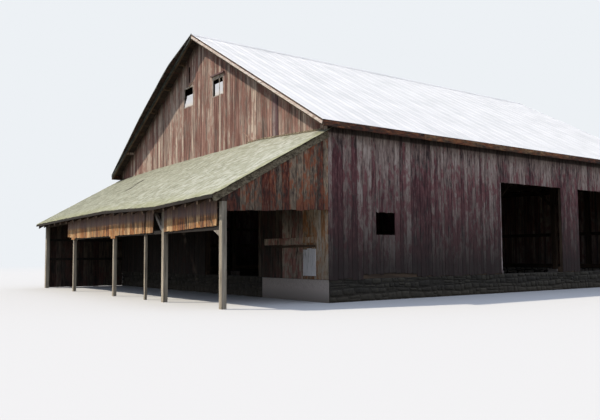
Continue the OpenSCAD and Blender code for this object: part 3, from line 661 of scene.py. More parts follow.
# %% Boards of the long walls
SIDE_TOP_CUT = SIDE_TOP - FIT
ROTTED_FROM, ROTTED_TO, ROTTED_BY, LESS_ROTTED_BY = 1.2, 3.4, 0.14, 0.03


def right_low(u):
    """Lower ends of the boards on the right wall, rotted back in front of the first wagon doorway."""
    from_corner = u - FRONT_Y
    if from_corner < ROTTED_FROM:
        return SILL_Z
    return SILL_Z + (ROTTED_BY if from_corner < ROTTED_TO else LESS_ROTTED_BY)


openings = [SIDE_WINDOW, (*DOOR_1, SILL_Z - 1, DOOR_HEAD), (*DOOR_2, SILL_Z - 1, DOOR_HEAD)]
right_rows = board_rows(21, FRONT_Y, REAR_Y, right_low, SIDE_TOP_CUT, openings, uneven=0.04, widths=MEDIUM)
piece_from("right_wall_boards", [boards(right_rows, ON_RIGHT, side_finish, rag=0.05)], "side_boards",
           "right_wall_front", "right_wall_pier", "right_wall_rear", "right_wall_header")
left_rows = board_rows(22, -REAR_Y, -FRONT_Y, SILL_Z, SIDE_TOP_CUT, [mirrored(SIDE_WINDOW)], uneven=0.02,
                       gaps=CLOSED)
piece_from("left_wall_boards", [boards(left_rows, ON_LEFT, side_finish, rag=0.04)], "side_boards", "left_wall")

# %% [markdown]
# The lean-to's roof sags between its posts. The heights along its eave and along the gable are
# read from the solid, and everything that lies on it or under it follows the same two curves.

# %% The sagging roof of the lean-to
deck_points = corners_of("lean_to_deck")
LEAN_TIP, LEAN_BACK = min(p.y for p in deck_points), max(p.y for p in deck_points)
lean_stations = levels("lean_to_deck", 0)


def deck_heights(y):
    """Height of the roof's upper face at each station along one edge."""
    return [max(p.z for p in deck_points if abs(p.x - x) < 1e-3 and abs(p.y - y) < 1e-3) for x in lean_stations]


EAVE_LINE, GABLE_LINE = deck_heights(LEAN_TIP), deck_heights(LEAN_BACK)
LEAN_X0, LEAN_X1 = lean_stations[0], lean_stations[-1]
LEAN_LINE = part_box("lean_to_plate")[0].y
LEAN_RUN = LEAN_BACK - LEAN_TIP


def lean_top(x, y):
    """Height of the lean-to roof's upper face over a point, or over arrays of points."""
    low, high = np.interp(x, lean_stations, EAVE_LINE), np.interp(x, lean_stations, GABLE_LINE)
    return low + (high - low) * (np.asarray(y) - LEAN_TIP) / LEAN_RUN


LEAN_DECK_T = 0.045
LEAN_DECK_V = LEAN_DECK_T * math.hypot(1, (GABLE_LINE[0] - EAVE_LINE[0]) / LEAN_RUN)


def under_lean_deck(x, y, drop):
    """Height at some distance under the roof boards of the lean-to."""
    return float(lean_top(x, y)) - LEAN_DECK_V - drop


print("lean-to eave from", round(min(EAVE_LINE), 3), "to", round(max(EAVE_LINE), 3))

# %% [markdown]
# Short boards hang from the plate across the front of the lean-to, and longer ones close its
# two ends. The sun reaches only the lower half of the hanging boards, past the eave. Beside the
# two middle posts they reach lower, step by step, like a funnel over the head of the post.

# %% Boards of the lean-to
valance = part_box("lean_to_valance")
POST_X = (-3.85, 0.3)
VALANCE_EDGES = [x for x in levels("lean_to_valance", 0) if x not in POST_X]
LEFT_RISE_W, RIGHT_RISE_X = 1.5, 4.3
VALANCE_BENDS = (VALANCE_EDGES[0], VALANCE_EDGES[0] + LEFT_RISE_W, RIGHT_RISE_X, VALANCE_EDGES[-1])
FUNNEL_DROP, FUNNEL_REACH = 0.13, 0.34
VALANCE_RISE, RAFTER_V = (0.08, 0.0, 0.0, 0.07), 0.175
VALANCE_Y, END_Y0 = LEAN_LINE - SIDING, LEAN_LINE + 0.15
rafter_edges = levels("lean_to_rafters", 0)


def valance_low(u):
    """Lower ends of the hanging boards, deeper beside the two posts that they cover."""
    near = min(abs(u - x) for x in POST_X)
    rise = float(np.interp(u, VALANCE_BENDS, VALANCE_RISE))
    return valance[0].z + rise - FUNNEL_DROP * max(0, 1 - near / FUNNEL_REACH)


def valance_top(u):
    """Upper ends of the hanging boards, close under the rafters."""
    return under_lean_deck(u, VALANCE_Y, RAFTER_V)


def end_low(u):
    """Lower ends of the right end boards, which rise towards the barn."""
    return END_LOW[0] + (END_LOW[1] - END_LOW[0]) * (u - END_Y0) / (FRONT_Y - END_Y0)


END_LOW = levels("lean_to_end_header", 2)[:2]
ON_LEAN_FRONT = placed((0, VALANCE_Y, 0), TO_REAR, UP)
hanging = [row for k, (a, b) in enumerate(zip(VALANCE_EDGES[::2], VALANCE_EDGES[1::2]))
           for row in board_rows(31 + k, a, b, valance_low, valance_top, widths=MEDIUM, uneven=0.012)]
frieze = []
for k, (a, b) in enumerate(zip(rafter_edges[1::2], rafter_edges[2::2])):
    frieze += board_rows(300 + k, a + 0.002, b - 0.002, lambda u: valance_top(u) + CLEAR,
                         lambda u: under_lean_deck(u, VALANCE_Y, 3 * CLEAR), widths=MEDIUM)
OPEN_BAY = (VALANCE_EDGES[-3], VALANCE_EDGES[-2])
frieze = [row for row in frieze if not OPEN_BAY[0] - 0.1 < row[0] + row[1] / 2 < OPEN_BAY[1] + 0.1]
piece_from("lean_to_hanging_boards", [boards(hanging, ON_LEAN_FRONT, hanging_finish, rag=0.012),
                                      boards(frieze, ON_LEAN_FRONT, frieze_finish, rag=0.0)],
           "hanging_boards", "lean_to_valance")
end_rows = board_rows(41, END_Y0, FRONT_Y, end_low, lambda u: under_lean_deck(HALF_W, u, CLEAR), uneven=0.03)
piece_from("lean_to_end_boards", [boards(end_rows, ON_RIGHT, lean_end_finish)], "hanging_boards",
           "lean_to_end_header")
# The left end's boards are dark as painted shade.
closed_rows = board_rows(42, -FRONT_Y, -LEAN_LINE, 0.016, lambda u: under_lean_deck(-HALF_W, -u, CLEAR),
                         uneven=0.01, gaps=CLOSED)
closed_rows += board_rows(43, -FRONT_Y - SIDING, -FRONT_Y, 0.01, SILL_Z - CLEAR, gaps=CLOSED)
piece_from("lean_to_left_boards", [boards(closed_rows, ON_LEFT, left_end_finish)], "hanging_boards",
           "lean_to_left_wall")

# %% [markdown]
# The lean-to is roofed with split wooden shingles, gone pale grey-green with lichen. They lie in
# courses about 120 mm apart on spaced boards. Geometry Nodes set a grid of points over the roof in
# plan, move every second course by half a shingle, drop each point onto the sagging sheet with a
# ray and turn the shingle to the sheet's normal there. A few are missing round two places.

# %% Tree that lays shingles
SHINGLE_W, SHINGLE_LENGTH, SHINGLE_T = 0.135, 0.34, 0.011
COURSE_RUN = 0.11745


def shingle_tree(holes, hole_radius):
    """Lays shingles in courses on a sheet, but for a few that are missing."""
    tree, put, given = new_tree("lay_shingles", Pattern=OBJECT, Columns=INTEGER, Courses=INTEGER, Length=FLOAT,
                                Run=FLOAT, Centre=VECTOR, Finish=MATERIAL)
    grid = put("MeshGrid", given["Length"], given["Run"], given["Columns"], given["Courses"])
    course = put("Math", put("InputIndex"), given["Courses"], operation="MODULO")
    odd = put("Math", course, 2.0, operation="MODULO")
    jitter = put("RandomValue", data_type="FLOAT_VECTOR", named={
        0: (-0.02, -0.016, 0.0), 1: (0.02, 0.016, 0.0), "Seed": 5})
    half = put("Math", odd, SHINGLE_W / 2, operation="MULTIPLY")
    shift = put("VectorMath", jitter, put("CombineXYZ", half), operation="ADD")
    shift = put("VectorMath", shift, given["Centre"], operation="ADD")
    points = put("SetPosition", grid, named={"Offset": shift})
    place = put("InputPosition")
    above = put("VectorMath", place, (0.0, 0.0, 20.0), operation="ADD")
    ray = put("Raycast", given["Geometry"], named={
        "Source Position": above, "Ray Direction": (0.0, 0.0, -1.0), "Ray Length": 40.0}).outputs
    gone = put("BooleanMath", ray["Is Hit"], operation="NOT")
    for hole in holes:
        away = put("VectorMath", place, (*hole, 0.0), operation="DISTANCE").outputs["Value"]
        near = put("Math", away, hole_radius, operation="LESS_THAN")
        gone = put("BooleanMath", gone, near, operation="OR")
    points = put("DeleteGeometry", points, gone, domain="POINT")
    points = put("SetPosition", points, named={"Position": ray["Hit Position"]})
    turn = put("RandomValue", data_type="FLOAT_VECTOR", named={
        0: (-0.012, -0.02, -0.035), 1: (0.02, 0.02, 0.035), "Seed": 6})
    turn = put("AlignRotationToVector", turn, 1.0, ray["Hit Normal"], axis="Z")
    size = put("RandomValue", data_type="FLOAT_VECTOR", named={
        0: (0.78, 0.93, 0.8), 1: (1.04, 1.05, 1.3), "Seed": 7})
    pattern = put("ObjectInfo", given["Pattern"]).outputs["Geometry"]
    laid = put("InstanceOnPoints", points, named={"Instance": pattern, "Rotation": turn, "Scale": size})
    tone = put("RandomValue", data_type="FLOAT", named={"Seed": 8})
    laid = put("StoreNamedAttribute", laid, None, "tone", tone.outputs[1], data_type="FLOAT", domain="INSTANCE")
    end_tree(put, laid, given["Finish"])
    return tree


def roof_sheet(columns, rows, sunk):
    """A thin grid that follows the lean-to's roof, some way below its upper face."""
    xs, ys = np.linspace(LEAN_X0, LEAN_X1, columns), np.linspace(LEAN_TIP, LEAN_BACK, rows)
    points = [(x, y, float(lean_top(x, y)) - sunk) for y in ys for x in xs]
    faces = [(r * columns + c, r * columns + c + 1, (r + 1) * columns + c + 1, (r + 1) * columns + c)
             for r in range(rows - 1) for c in range(columns - 1)]
    return mesh_of("roof_sheet", points, faces)


def shingle_pattern():
    """A split shingle, thin at its upper end, with a thick worn butt. Its origin is near the butt."""
    w, length, t = SHINGLE_W / 2, SHINGLE_LENGTH, SHINGLE_T
    rings = [(0.0, t * 0.8), (0.012, t), (0.10, t * 0.8), (length, t * 0.25)]
    across = (-1, -0.92, 0.1, 0.94, 1)
    crown = (0.75, 1, 0.93, 1, 0.8)
    points = [(a * w, y, 0) for y, _ in rings for a in (across[0], across[-1])]
    points += [(a * w, y, h * c) for y, h in rings for a, c in zip(across, crown)]
    n, m = len(rings), len(across)
    top = [[2 * n + r * m + k for k in range(m)] for r in range(n)]
    faces = [(top[r][k], top[r][k + 1], top[r + 1][k + 1], top[r + 1][k])
             for r in range(n - 1) for k in range(m - 1)]
    faces += [(2 * r + 1, 2 * r, 2 * r + 2, 2 * r + 3) for r in range(n - 1)]
    faces += [(2 * r, top[r][0], top[r + 1][0], 2 * r + 2) for r in range(n - 1)]
    faces += [(top[r][-1], 2 * r + 1, 2 * r + 3, top[r + 1][-1]) for r in range(n - 1)]
    faces += [(0, 1, *top[0][::-1]), (2 * n - 1, 2 * n - 2, *top[-1])]
    return pattern("shingle", points, faces)


SHINGLE = shingle_pattern()
print("shingle:", len(SHINGLE.data.polygons), "faces")

# %% [markdown]
# The shingles' grey is cedar that has lost its brown to the sun. They are paler towards the open end.
# Lichen gives the pale green in spots as wide as a hand, and moss the yellower green along the
# eave and the right edge.

# %% Finish of the shingles


def shingle_finish():
    """Silvered cedar with pale lichen, and moss towards the eave."""
    material, put, place = new_material("lichen_covered_cedar")
    tone = put("Attribute", attribute_name="tone").outputs["Fac"]
    axes = put("SeparateXYZ", place).outputs
    clouds, spots, grain = [
        put("TexNoise", put("Mapping", place, named={"Scale": scale}), named={
            "Scale": 1.0, "Detail": detail, "Roughness": roughness}) for scale, detail, roughness in (
                ((1.2, 1.6, 1.6), 5.0, 0.65), ((10.0, 15.0, 15.0), 4.0, 0.7), ((90.0, 9.0, 9.0), 3.0, 0.5))]
    own = put("MapRange", axes[0], LEAN_X0, LEAN_X1, 0.21, 0.40)
    for noise, share in ((tone, 0.22), (clouds, 0.32)):
        own = put("Math", noise, share, own, operation="MULTIPLY_ADD")
    shade = put("ValToRGB", own, stops=((0.36, "#7A7B69"), (0.52, "#929480"), (0.66, "#A7A997"), (0.82, "#C8CABF")))
    lichen = put("MapRange", spots, 0.50, 0.66, 0.0, 0.35)
    from_eave = put("Math", clouds, 1.2, axes[1], operation="MULTIPLY_ADD")
    eave_moss = put("MapRange", from_eave, LEAN_TIP + 0.50, LEAN_TIP + 1.15, 0.45, 0.0)
    from_end = put("Math", spots, 0.6, axes[0], operation="MULTIPLY_ADD")
    end_moss = put("MapRange", from_end, LEAN_X1 - 0.1, LEAN_X1 + 0.25, 0.0, 0.45)
    moss = put("Math", eave_moss, end_moss, operation="MAXIMUM")
    rot = put("MapRange", spots, 0.32, 0.43, 0.45, 0.0)
    splits = put("MapRange", grain, 0.30, 0.45, 0.2, 0.0)
    for amount, colour in ((lichen, "#B2B7A2"), (moss, "#9A9B66"), (rot, "#615E4D"), (splits, "#6B6754")):
        shade = put("MixRGB", amount, shade, linear(colour))
    bump = put("Bump", named={"Strength": 0.5, "Distance": 0.004, "Height": grain})
    return finished(material, put("BsdfPrincipled", named={
        "Base Color": shade, "Roughness": 0.92, "IOR": 1.45, "Normal": bump}))


lichened = shingle_finish()
HOLE_PLACES, HOLE_STEPS, HOLE_RADIUS = ((-2.1, -10.01), (-2.45, -9.53)), (-0.12, 0.0, 0.12, 0.24), 0.14
ROOF_HOLES = [(x, y + up) for x, y in HOLE_PLACES for up in HOLE_STEPS]
columns = round((LEAN_X1 - LEAN_X0) / SHINGLE_W)
courses = round(LEAN_RUN / COURSE_RUN)
shingles = grown(
    shingle_tree(ROOF_HOLES, HOLE_RADIUS), roof_sheet(90, 8, SHINGLE_T * 2.2), Pattern=SHINGLE, Columns=columns,
    Courses=courses, Length=LEAN_X1 - LEAN_X0 - SHINGLE_W * 1.2, Run=LEAN_RUN - 0.10,
    Centre=((LEAN_X0 + LEAN_X1) / 2 - 0.03, (LEAN_TIP + LEAN_BACK) / 2 - 0.025, 0.0), Finish=lichened)
piece_from("lean_to_shingles", [shingles], "shingles", "lean_to_deck")

# %% [markdown]
# Under the shingles lie spaced boards, nailed across the rafters. They are laid flat by the same
# tree as the walls, and then every corner is lifted to the sagging roof. A strip closes the
# edge over the eave, near black as painted shade under the shingles' edge.

# %% Boards under the shingles
BATTEN_T, EAVE_STRIP_H, LEAN_BAYS = 0.020, 0.075, 5
FLAT = placed((0, 0, 0), (0, 0, -1), (1, 0, 0))


def reshaped(mesh, change):
    """The mesh after a function has changed the array of its points."""
    place = np.empty(len(mesh.vertices) * 3)
    mesh.vertices.foreach_get("co", place)
    place = place.reshape(-1, 3)
    change(place)
    mesh.vertices.foreach_set("co", place.ravel())
    mesh.update()
    return mesh


def bent_to_roof(mesh, sunk):
    """Lifts a flat mesh to the lean-to's roof, some way below its upper face."""
    def lift(place):
        place[:, 2] += lean_top(place[:, 0], place[:, 1]) - sunk
    return reshaped(mesh, lift)


stops = np.linspace(LEAN_X0 + 0.02, LEAN_X1 - 0.02, LEAN_BAYS + 1)
batten_rows = bay_rows(51, stops, -LEAN_BACK + 0.01, -LEAN_TIP - 0.02, FIT, widths=(0.14, 0.18), gaps=(0.02, 0.05))
battens = boards(batten_rows, FLAT, brown[0], thickness=BATTEN_T, warp=0.0, wander=0.003, rag=0.0)
stops = np.linspace(LEAN_X0 + CLEAR, LEAN_X1 - CLEAR, LEAN_BAYS + 1)
eave_strips = boards(bay_rows(57, stops, -LEAN_TIP - 0.026, -LEAN_TIP - 0.006, CLEAR), FLAT, painted_shade_rail,
                     thickness=EAVE_STRIP_H, **STIFF)
piece_from("lean_to_roof_boards", [bent_to_roof(battens, LEAN_DECK_V - BATTEN_T),
                                   bent_to_roof(eave_strips, SHINGLE_T * 2.6)], "weathered_timber")

# %% [markdown]
# The main roof is galvanised steel, painted white and gone chalky. A sheet is 610 mm wide, with
# a pair of ribs at each edge and one rib in the middle, and two sheets reach from eave to ridge,
# the upper one lapped over the lower one. The left slope faces the sun more squarely, so its steel
# is painted darker as painted shade. The sheets are laid by the same tree as the boards.

# %% Finish of the roof metal


def roof_metal_finish(name, shades):
    """Painted steel gone chalky, which reflects a little of the sky, with faint rust down the slope."""
    material, put, place = new_material(name)
    tone = put("Attribute", attribute_name="tone").outputs["Fac"]
    runs = put("Mapping", place, named={"Scale": (0.25, 7.0, 0.25)})
    runs = put("TexNoise", runs, named={"Scale": 1.0, "Detail": 5.0, "Roughness": 0.7})
    chalk = put("TexNoise", place, named={"Scale": 1.1, "Detail": 4.0})
    value = put("Math", tone, 0.12, chalk, operation="MULTIPLY_ADD")
    shade = put("ValToRGB", value, stops=[*zip((0.35, 0.55, 0.75), shades)])
    rusty = put("MapRange", runs, 0.70, 0.84, 0.0, 0.22)
    shade = put("MixRGB", rusty, shade, linear("#B39A86"))
    rough = put("MapRange", chalk, 0.3, 0.7, 0.5, 0.66)
    return finished(material, put("BsdfPrincipled", named={
        "Base Color": shade, "Roughness": rough, "Metallic": 0.15}))


steel = roof_metal_finish("chalky_white_steel", ("#DCDEDE", "#E5E6E6", "#EBECEC"))
# Painted shade: the left slope's steel is darker because it faces the sun more squarely.
sun_side_darkened_steel = roof_metal_finish("sun_side_darkened_white_steel", ("#A6AAAB", "#B1B5B6", "#BBBEBE"))

# %% Roof sheets
SHEET_W, LAP, SHEET_BODY, SHEET_T = 0.61, 0.15, 0.25, 0.007
RIB_PLACES, RIB_HALF = (0.035, 0.115, 0.5, 0.885, 0.965), 0.024
SHEET_RINGS, ROOF_Y_CLEAR = 8, 0.001


def sheet_section():
    """Outline of a ribbed sheet across its width, with the ribs reaching the outer face."""
    face = 1 - SHEET_BODY
    outline = [(0, 1), (0, face)]
    for rib in RIB_PLACES:
        outline += [(rib - RIB_HALF, face), (rib - RIB_HALF * 0.4, 0), (rib + RIB_HALF * 0.4, 0),
                    (rib + RIB_HALF, face)]
    return [*outline, (1, face), (1, 1)]


ROOF_SHEET = pattern("roof_sheet", *prism(sheet_section(), [k / SHEET_RINGS for k in range(SHEET_RINGS + 1)]))
SLOPE_LENGTH = ROOF_HALF * SLANT


def slope_axes(side):
    """The directions out of a main slope and up it, 1 for the right slope and -1 for the left."""
    return Vector((side * SLOPE_SIN, 0, SLOPE_COS)), Vector((-side * SLOPE_COS, 0, SLOPE_SIN))


def slope(side, sunk):
    """The frame of a main slope from its eave up, some way under its outer face."""
    out, along = slope_axes(side)
    return placed(Vector((side * ROOF_HALF, 0, EAVE_Z)) - out * sunk, -out, along)


def sheet_rows(seed, start, end):
    """Two rows of roof sheets, each sheet a little out of line with its neighbours."""
    rng = random.Random(seed)
    count = round((end - start) / SHEET_W)
    width = (end - start) / count
    rows = []
    middle = SLOPE_LENGTH * 0.5
    for k in range(count):
        left = start + k * width
        for low, top, lift in ((0.0, middle + LAP, 0.0016), (middle, SLOPE_LENGTH - 0.002, 0.0)):
            low += rng.uniform(0.0, 0.012)
            rows.append((left, width, low, top, top, rng.random(), lift, rng.uniform(-0.0006, 0.0006)))
    return rows


EDGE_X = levels("roof_metal_left", 0)
EDGE_Y = [min(p.y for p in corners_of("roof_metal_left") if abs(p.x - x) < 1e-3) for x in EDGE_X]
TRIMMED = ROOF_Y0 + 2 * SHEET_W


def left_edge(x):
    """How far forward the left slope reaches, by its place across the barn."""
    return np.interp(x, EDGE_X, EDGE_Y)


def trim_to_edge(place):
    """Draws the ends of the front sheets out to the uneven line of the left slope."""
    near = place[:, 1] < TRIMMED
    share = (left_edge(place[near, 0]) - TRIMMED) / (ROOF_Y0 - TRIMMED)
    place[near, 1] = TRIMMED + (place[near, 1] - TRIMMED) * share


for side, name in ((1, "right"), (-1, "left")):
    span = sorted((side * ROOF_Y0, side * (ROOF_Y1 - ROOF_Y_CLEAR)))
    mesh = boards(sheet_rows(60 + side, *span), slope(side, METAL_T - SHEET_T - 0.002),
                  steel if side > 0 else sun_side_darkened_steel, thickness=SHEET_T, warp=0.0008, wander=0.001, rag=0.0,
                  pattern=ROOF_SHEET)
    if side < 0:
        mesh = reshaped(mesh, trim_to_edge)
    piece_from(f"roof_sheets_{name}", [mesh], "roof_metal", f"roof_metal_{name}")

# %% [markdown]
# The deck under the metal is old brown board, nailed across the rafters from end to end. It shows
# from below, under the overhang of the gables and through the doorways, where it is near black as
# painted shade. Its edge is the dark red line under the white edge of the metal.

# %% Deck boards of the main roof
# Painted shade: the deck boards are near black, since they are seen only in the shade under the roof.
painted_shade_deck_finish = old_boards("deck_boards", ("#1E1815", "#2B2320", "#362B26", "#4A3B33"),
                         ("#33201B", "#3F2822", "#4A2F28"), 0.3, along=1)


def along_roof(side):
    """The frame of the deck on one slope, with its boards running along the barn."""
    out = slope_axes(side)[0]
    start = Vector((0, 0, RIDGE_Z)) if side > 0 else Vector((-ROOF_HALF, 0, EAVE_Z))
    return placed(start - out * METAL_T, -out, (0, 1, 0))


def left_ends(u):
    """The front ends of the left slope's deck boards, by their distance up from the eave."""
    return float(left_edge(u * SLOPE_COS - ROOF_HALF)) + 0.03


DECK_BAYS = 5
for side, name in ((1, "right"), (-1, "left")):
    stops = np.linspace(ROOF_Y0, ROOF_Y1, DECK_BAYS + 1)
    rows = []
    for k, (a, b) in enumerate(zip(stops, stops[1:])):
        end = 0.0 if k == DECK_BAYS - 1 else FIT
        trimmed = SLOPE_LENGTH + METAL_T * SLOPE_SIN / SLOPE_COS
        span = (CLEAR, trimmed) if side > 0 else (SLOPE_LENGTH - trimmed, SLOPE_LENGTH - CLEAR)
        uneven = side < 0 and k == 0
        rows += board_rows(70 + k * side, *span, left_ends if uneven else a, b - end,
                           widths=(0.18, 0.26), gaps=(0.002, 0.006), uneven=0.03 if uneven else 0.0)
    rows = [(*row[:6], abs(row[6]), row[7]) for row in rows]
    mesh = boards(rows, along_roof(side), painted_shade_deck_finish, thickness=DECK_T, **STIFF)
    piece_from(f"deck_boards_{name}", [mesh], "deck_boards", f"roof_deck_{name}")

# %% [markdown]
# The fascia along the eaves was painted red and has rusted stains from the metal above. Its
# boards have sagged between the rafters, so its lower edge waves. Towards that edge they darken,
# partly dirt and partly painted shade of the eave. The boards under the gable's edge are cream on
# the right slope, and bare and dark on the left, where the paint is gone.

# %% Fascias and rake boards
# The foot darkens the fascia towards its lower edge: partly dirt, partly painted shade of the eave.
fascia_finish = old_boards("rust_stained_fascia", ("#2E221C", "#64493A", "#967350", "#CCA474"),
                           ("#34201A", "#703A28", "#A2653E"), 0.55, along=1, stretch=0.45, mottle=0.85,
                           foot=(fascia[0].z - 0.02, fascia[0].z + 0.14, 0.9))
cream_finish = old_boards("cream_painted_softwood", ("#B39F91", "#D6C5B7", "#E6D9CD", "#F1E8DF"),
                          ("#DDCDBF", "#E9DCCF", "#F1E8DE"), 0.7, along=0, dark="#8A6B5A")
strip_finish = old_boards("bare_rake_strips", ("#5E463C", "#7C6152", "#967B69", "#B39A86"),
                          ("#7A5A4A", "#8F6E5C", "#A38370"), 0.4, along=0)
dark_finish = old_boards("bare_rake_boards", ("#2B2D29", "#3B3E38", "#484C45", "#5C5F55"),
                         ("#33302B", "#3E3933", "#48423A"), 0.2, along=0)
FASCIA_H, CLOSE_UP = fascia[1].z - fascia[0].z, 0.020
RAKE_H = (under_deck(ROOF_HALF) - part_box("rake_boards")[0].z) / SLANT
RAKE_STRIP, RAKE_LENGTHS, FASCIA_LENGTHS = 0.03, 3, 5


def fascia_rows(seed, up):
    """A row of long fascia boards, hung with their upper edges in line."""
    rng = random.Random(seed)
    stops = np.linspace(fascia[0].y, fascia[1].y, FASCIA_LENGTHS + 1)
    rows = []
    for a, b in zip(stops, stops[1:]):
        height = FASCIA_H - rng.uniform(0.0, 0.03)
        start = FASCIA_H - height if up else 0.0
        rows.append((start, height, a, b - CLEAR, b - CLEAR, rng.random(), rng.uniform(0.0, 0.003), 0.0))
    return rows


fascias = []
for side in (1, -1):
    corner = (side * ROOF_HALF, 0, (fascia[1].z if side > 0 else fascia[0].z) + CLOSE_UP)
    place = placed(corner, (-side, 0, 0), (0, 1, 0))
    fascias.append(boards(fascia_rows(80 + side, side < 0), place, fascia_finish, thickness=TRIM_T, warp=0.0,
                          wander=0.016, rag=0.0))
piece_from("eave_fascia_boards", fascias, "rusty_fascia", "eave_fascias")


def rake(front, side, finish, seed):
    """The boards under the roof's edge on one slope of one gable."""
    face = ROOF_Y0 if front else ROOF_Y1 - ROOF_Y_CLEAR / 2
    inward = Vector((0, 1 if front else -1, 0))
    out, along = slope_axes(side)
    foot = Vector((side * ROOF_HALF, face, under_deck(ROOF_HALF)))
    if inward.cross(along).dot(out) > 0:
        foot -= out * RAKE_H
    rng = random.Random(seed)
    stops = np.linspace(FASCIA_H * 0.12, SLOPE_LENGTH - METAL_T, RAKE_LENGTHS + 1)
    strip = (0.0, RAKE_STRIP) if inward.cross(along).dot(out) < 0 else (RAKE_H - RAKE_STRIP, RAKE_STRIP)
    board = (RAKE_STRIP, RAKE_H - RAKE_STRIP) if strip[0] == 0 else (0.0, RAKE_H - RAKE_STRIP)
    meshes = []
    strip_kind = strip_finish if finish is cream_finish else finish
    for (left, width), dressed, sunk in ((board, finish, 0.0), (strip, strip_kind, 0.006)):
        rows = [(left, width, a, b - FIT, b - FIT, rng.random(), sunk + rng.uniform(0, 0.002), 0.0)
                for a, b in zip(stops, stops[1:])]
        meshes.append(boards(rows, placed(foot, inward, along), dressed, thickness=TRIM_T - sunk, warp=0.001,
                             wander=0.003, rag=0.0))
    return meshes


piece_from("rake_boards_cream", rake(True, 1, cream_finish, 1) + rake(False, -1, cream_finish, 2),
           "pale_trim", "rake_boards")
piece_from("rake_boards_bare", rake(True, -1, dark_finish, 3) + rake(False, 1, dark_finish, 4),
           "pale_trim", "rake_boards")

# %% [markdown]
# The ridge is closed by bent lengths of the same steel, each lapped over the next, with their
# edges pressed down onto the ribs. The solid has the bend, and these lengths add the laps and the
# small dips of an old ridge.

# %% Ridge cap
CAP_T, CAP_LENGTH, CAP_LAP, CAP_SUNK, CAP_LIFT = 0.003, 2.5, 0.1, 0.011, 0.0012
CAP_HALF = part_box("ridge_cap")[1].x


def cap_mesh():
    """Bent lengths along the ridge, each laid over the one before."""
    rng = random.Random(90)
    points, faces = [], []
    section = [(-CAP_HALF, -CAP_SUNK), (-CAP_HALF, CAP_T - CAP_SUNK), (-CAP_HALF * 0.5, CAP_T), (0.0, CAP_T),
               (CAP_HALF * 0.5, CAP_T), (CAP_HALF, CAP_T - CAP_SUNK), (CAP_HALF, -CAP_SUNK), (0.0, 0.0)]
    for k, start in enumerate(np.arange(ROOF_Y0, ROOF_Y1 - 0.3, CAP_LENGTH)):
        end = min(start + CAP_LENGTH + CAP_LAP, ROOF_Y1)
        dip = rng.uniform(-0.004, 0.0)
        length, closed = prism(section, (start, (start + end) / 2, end))
        faces += [tuple(len(points) + i for i in face[::-1]) for face in closed]
        for x, up, y in length:
            sag = dip * 0.3 * (1 - abs(x) / CAP_HALF) if start < y < end else 0.0
            points.append((x, y, RIDGE_Z - abs(x) * ROOF_SLOPE + up * SLANT + CAP_LIFT * (k % 2) + sag))
    return mesh_of("ridge_lengths", points, faces, steel)


piece_from("ridge_cap_lengths", [cap_mesh()], "roof_metal", "ridge_cap")

# %% [markdown]
# The foundation is field stone, laid in rough courses and pointed with lime. The solids are the
# core of the walls and carry the mortar's finish. Rounded stones stand 15 mm proud of them, on
# both faces of each wall, set out by the same tree. Only the rear wall's stones are pale; the
# others and the mortar of the core are near black, damp and darkened further as painted shade.
# To the right of the doorway under the lean-to the wall has a thin coat of lime render instead.

# %% Stones and mortar


def stone_finish(name, shades, bump_m, lumps_per_m):
    """Grey stone or mortar, with damp and soil creeping up from the ground."""
    material, put, place = new_material(name)
    tone = put("Attribute", attribute_name="tone").outputs["Fac"]
    lumps = put("TexNoise", place, named={"Scale": lumps_per_m, "Detail": 6.0, "Roughness": 0.7})
    value = put("Math", tone, 0.34, lumps, operation="MULTIPLY_ADD")
    shade = put("ValToRGB", value, stops=[*zip((0.38, 0.60, 0.84), shades)])
    height = put("SeparateXYZ", place).outputs[2]
    damp = put("Math", lumps, -0.5, height, operation="MULTIPLY_ADD")
    damp = put("MapRange", damp, -0.22, 0.12, 0.6, 0.0)
    shade = put("MixRGB", damp, shade, linear("#514A3E"))
    bump = put("Bump", named={"Strength": 0.7, "Distance": bump_m, "Height": lumps})
    return finished(material, put("BsdfPrincipled", named={
        "Base Color": shade, "Roughness": 0.93, "IOR": 1.5, "Normal": bump}))


field_stone = stone_finish("field_stone", ("#7F776F", "#A39A8F", "#BDB4A8"), 0.012, 9.0)
# Damp stone and mortar, darkened further as painted shade, for every wall but the rear.
shade_darkened_damp_stone = stone_finish("shade_darkened_damp_field_stone", ("#211F1B", "#322F29", "#454137"), 0.012, 9.0)
mortar = stone_finish("lime_mortar", ("#A89C92", "#C6BAAE", "#D8CDC3"), 0.006, 22.0)
shade_darkened_damp_mortar = stone_finish("shade_darkened_damp_mortar", ("#26231F", "#35312A", "#443F36"), 0.006, 22.0)
dress(mortar, "post_piers")
dress(shade_darkened_damp_mortar, "gable_foundations", "side_foundations")


def stone_pattern():
    """A block of three by three faces on each side, rounded towards a ball."""
    steps = np.linspace(-1, 1, 4)
    index, points, faces = {}, [], []

    def corner(place):
        key = tuple(np.round(place, 3))
        if key not in index:
            v = np.array(place)
            v = v * 0.62 + v / np.linalg.norm(v) * 0.38
            index[key] = len(points)
            points.append(tuple((v + 1) / 2))
        return index[key]

    for axis in range(3):
        for sign in (-1, 1):
            for a, b in [(a, b) for a in range(3) for b in range(3)]:
                square = [(steps[a], steps[b]), (steps[a + 1], steps[b]), (steps[a + 1], steps[b + 1]),
                          (steps[a], steps[b + 1])]
                face = []
                for p, q in square if sign > 0 else square[::-1]:
                    place = [0.0, 0.0, 0.0]
                    place[axis], place[(axis + 1) % 3], place[(axis + 2) % 3] = sign, p, q
                    face.append(corner(place))
                faces.append(tuple(face))
    return pattern("stone", points, faces, smooth=True)


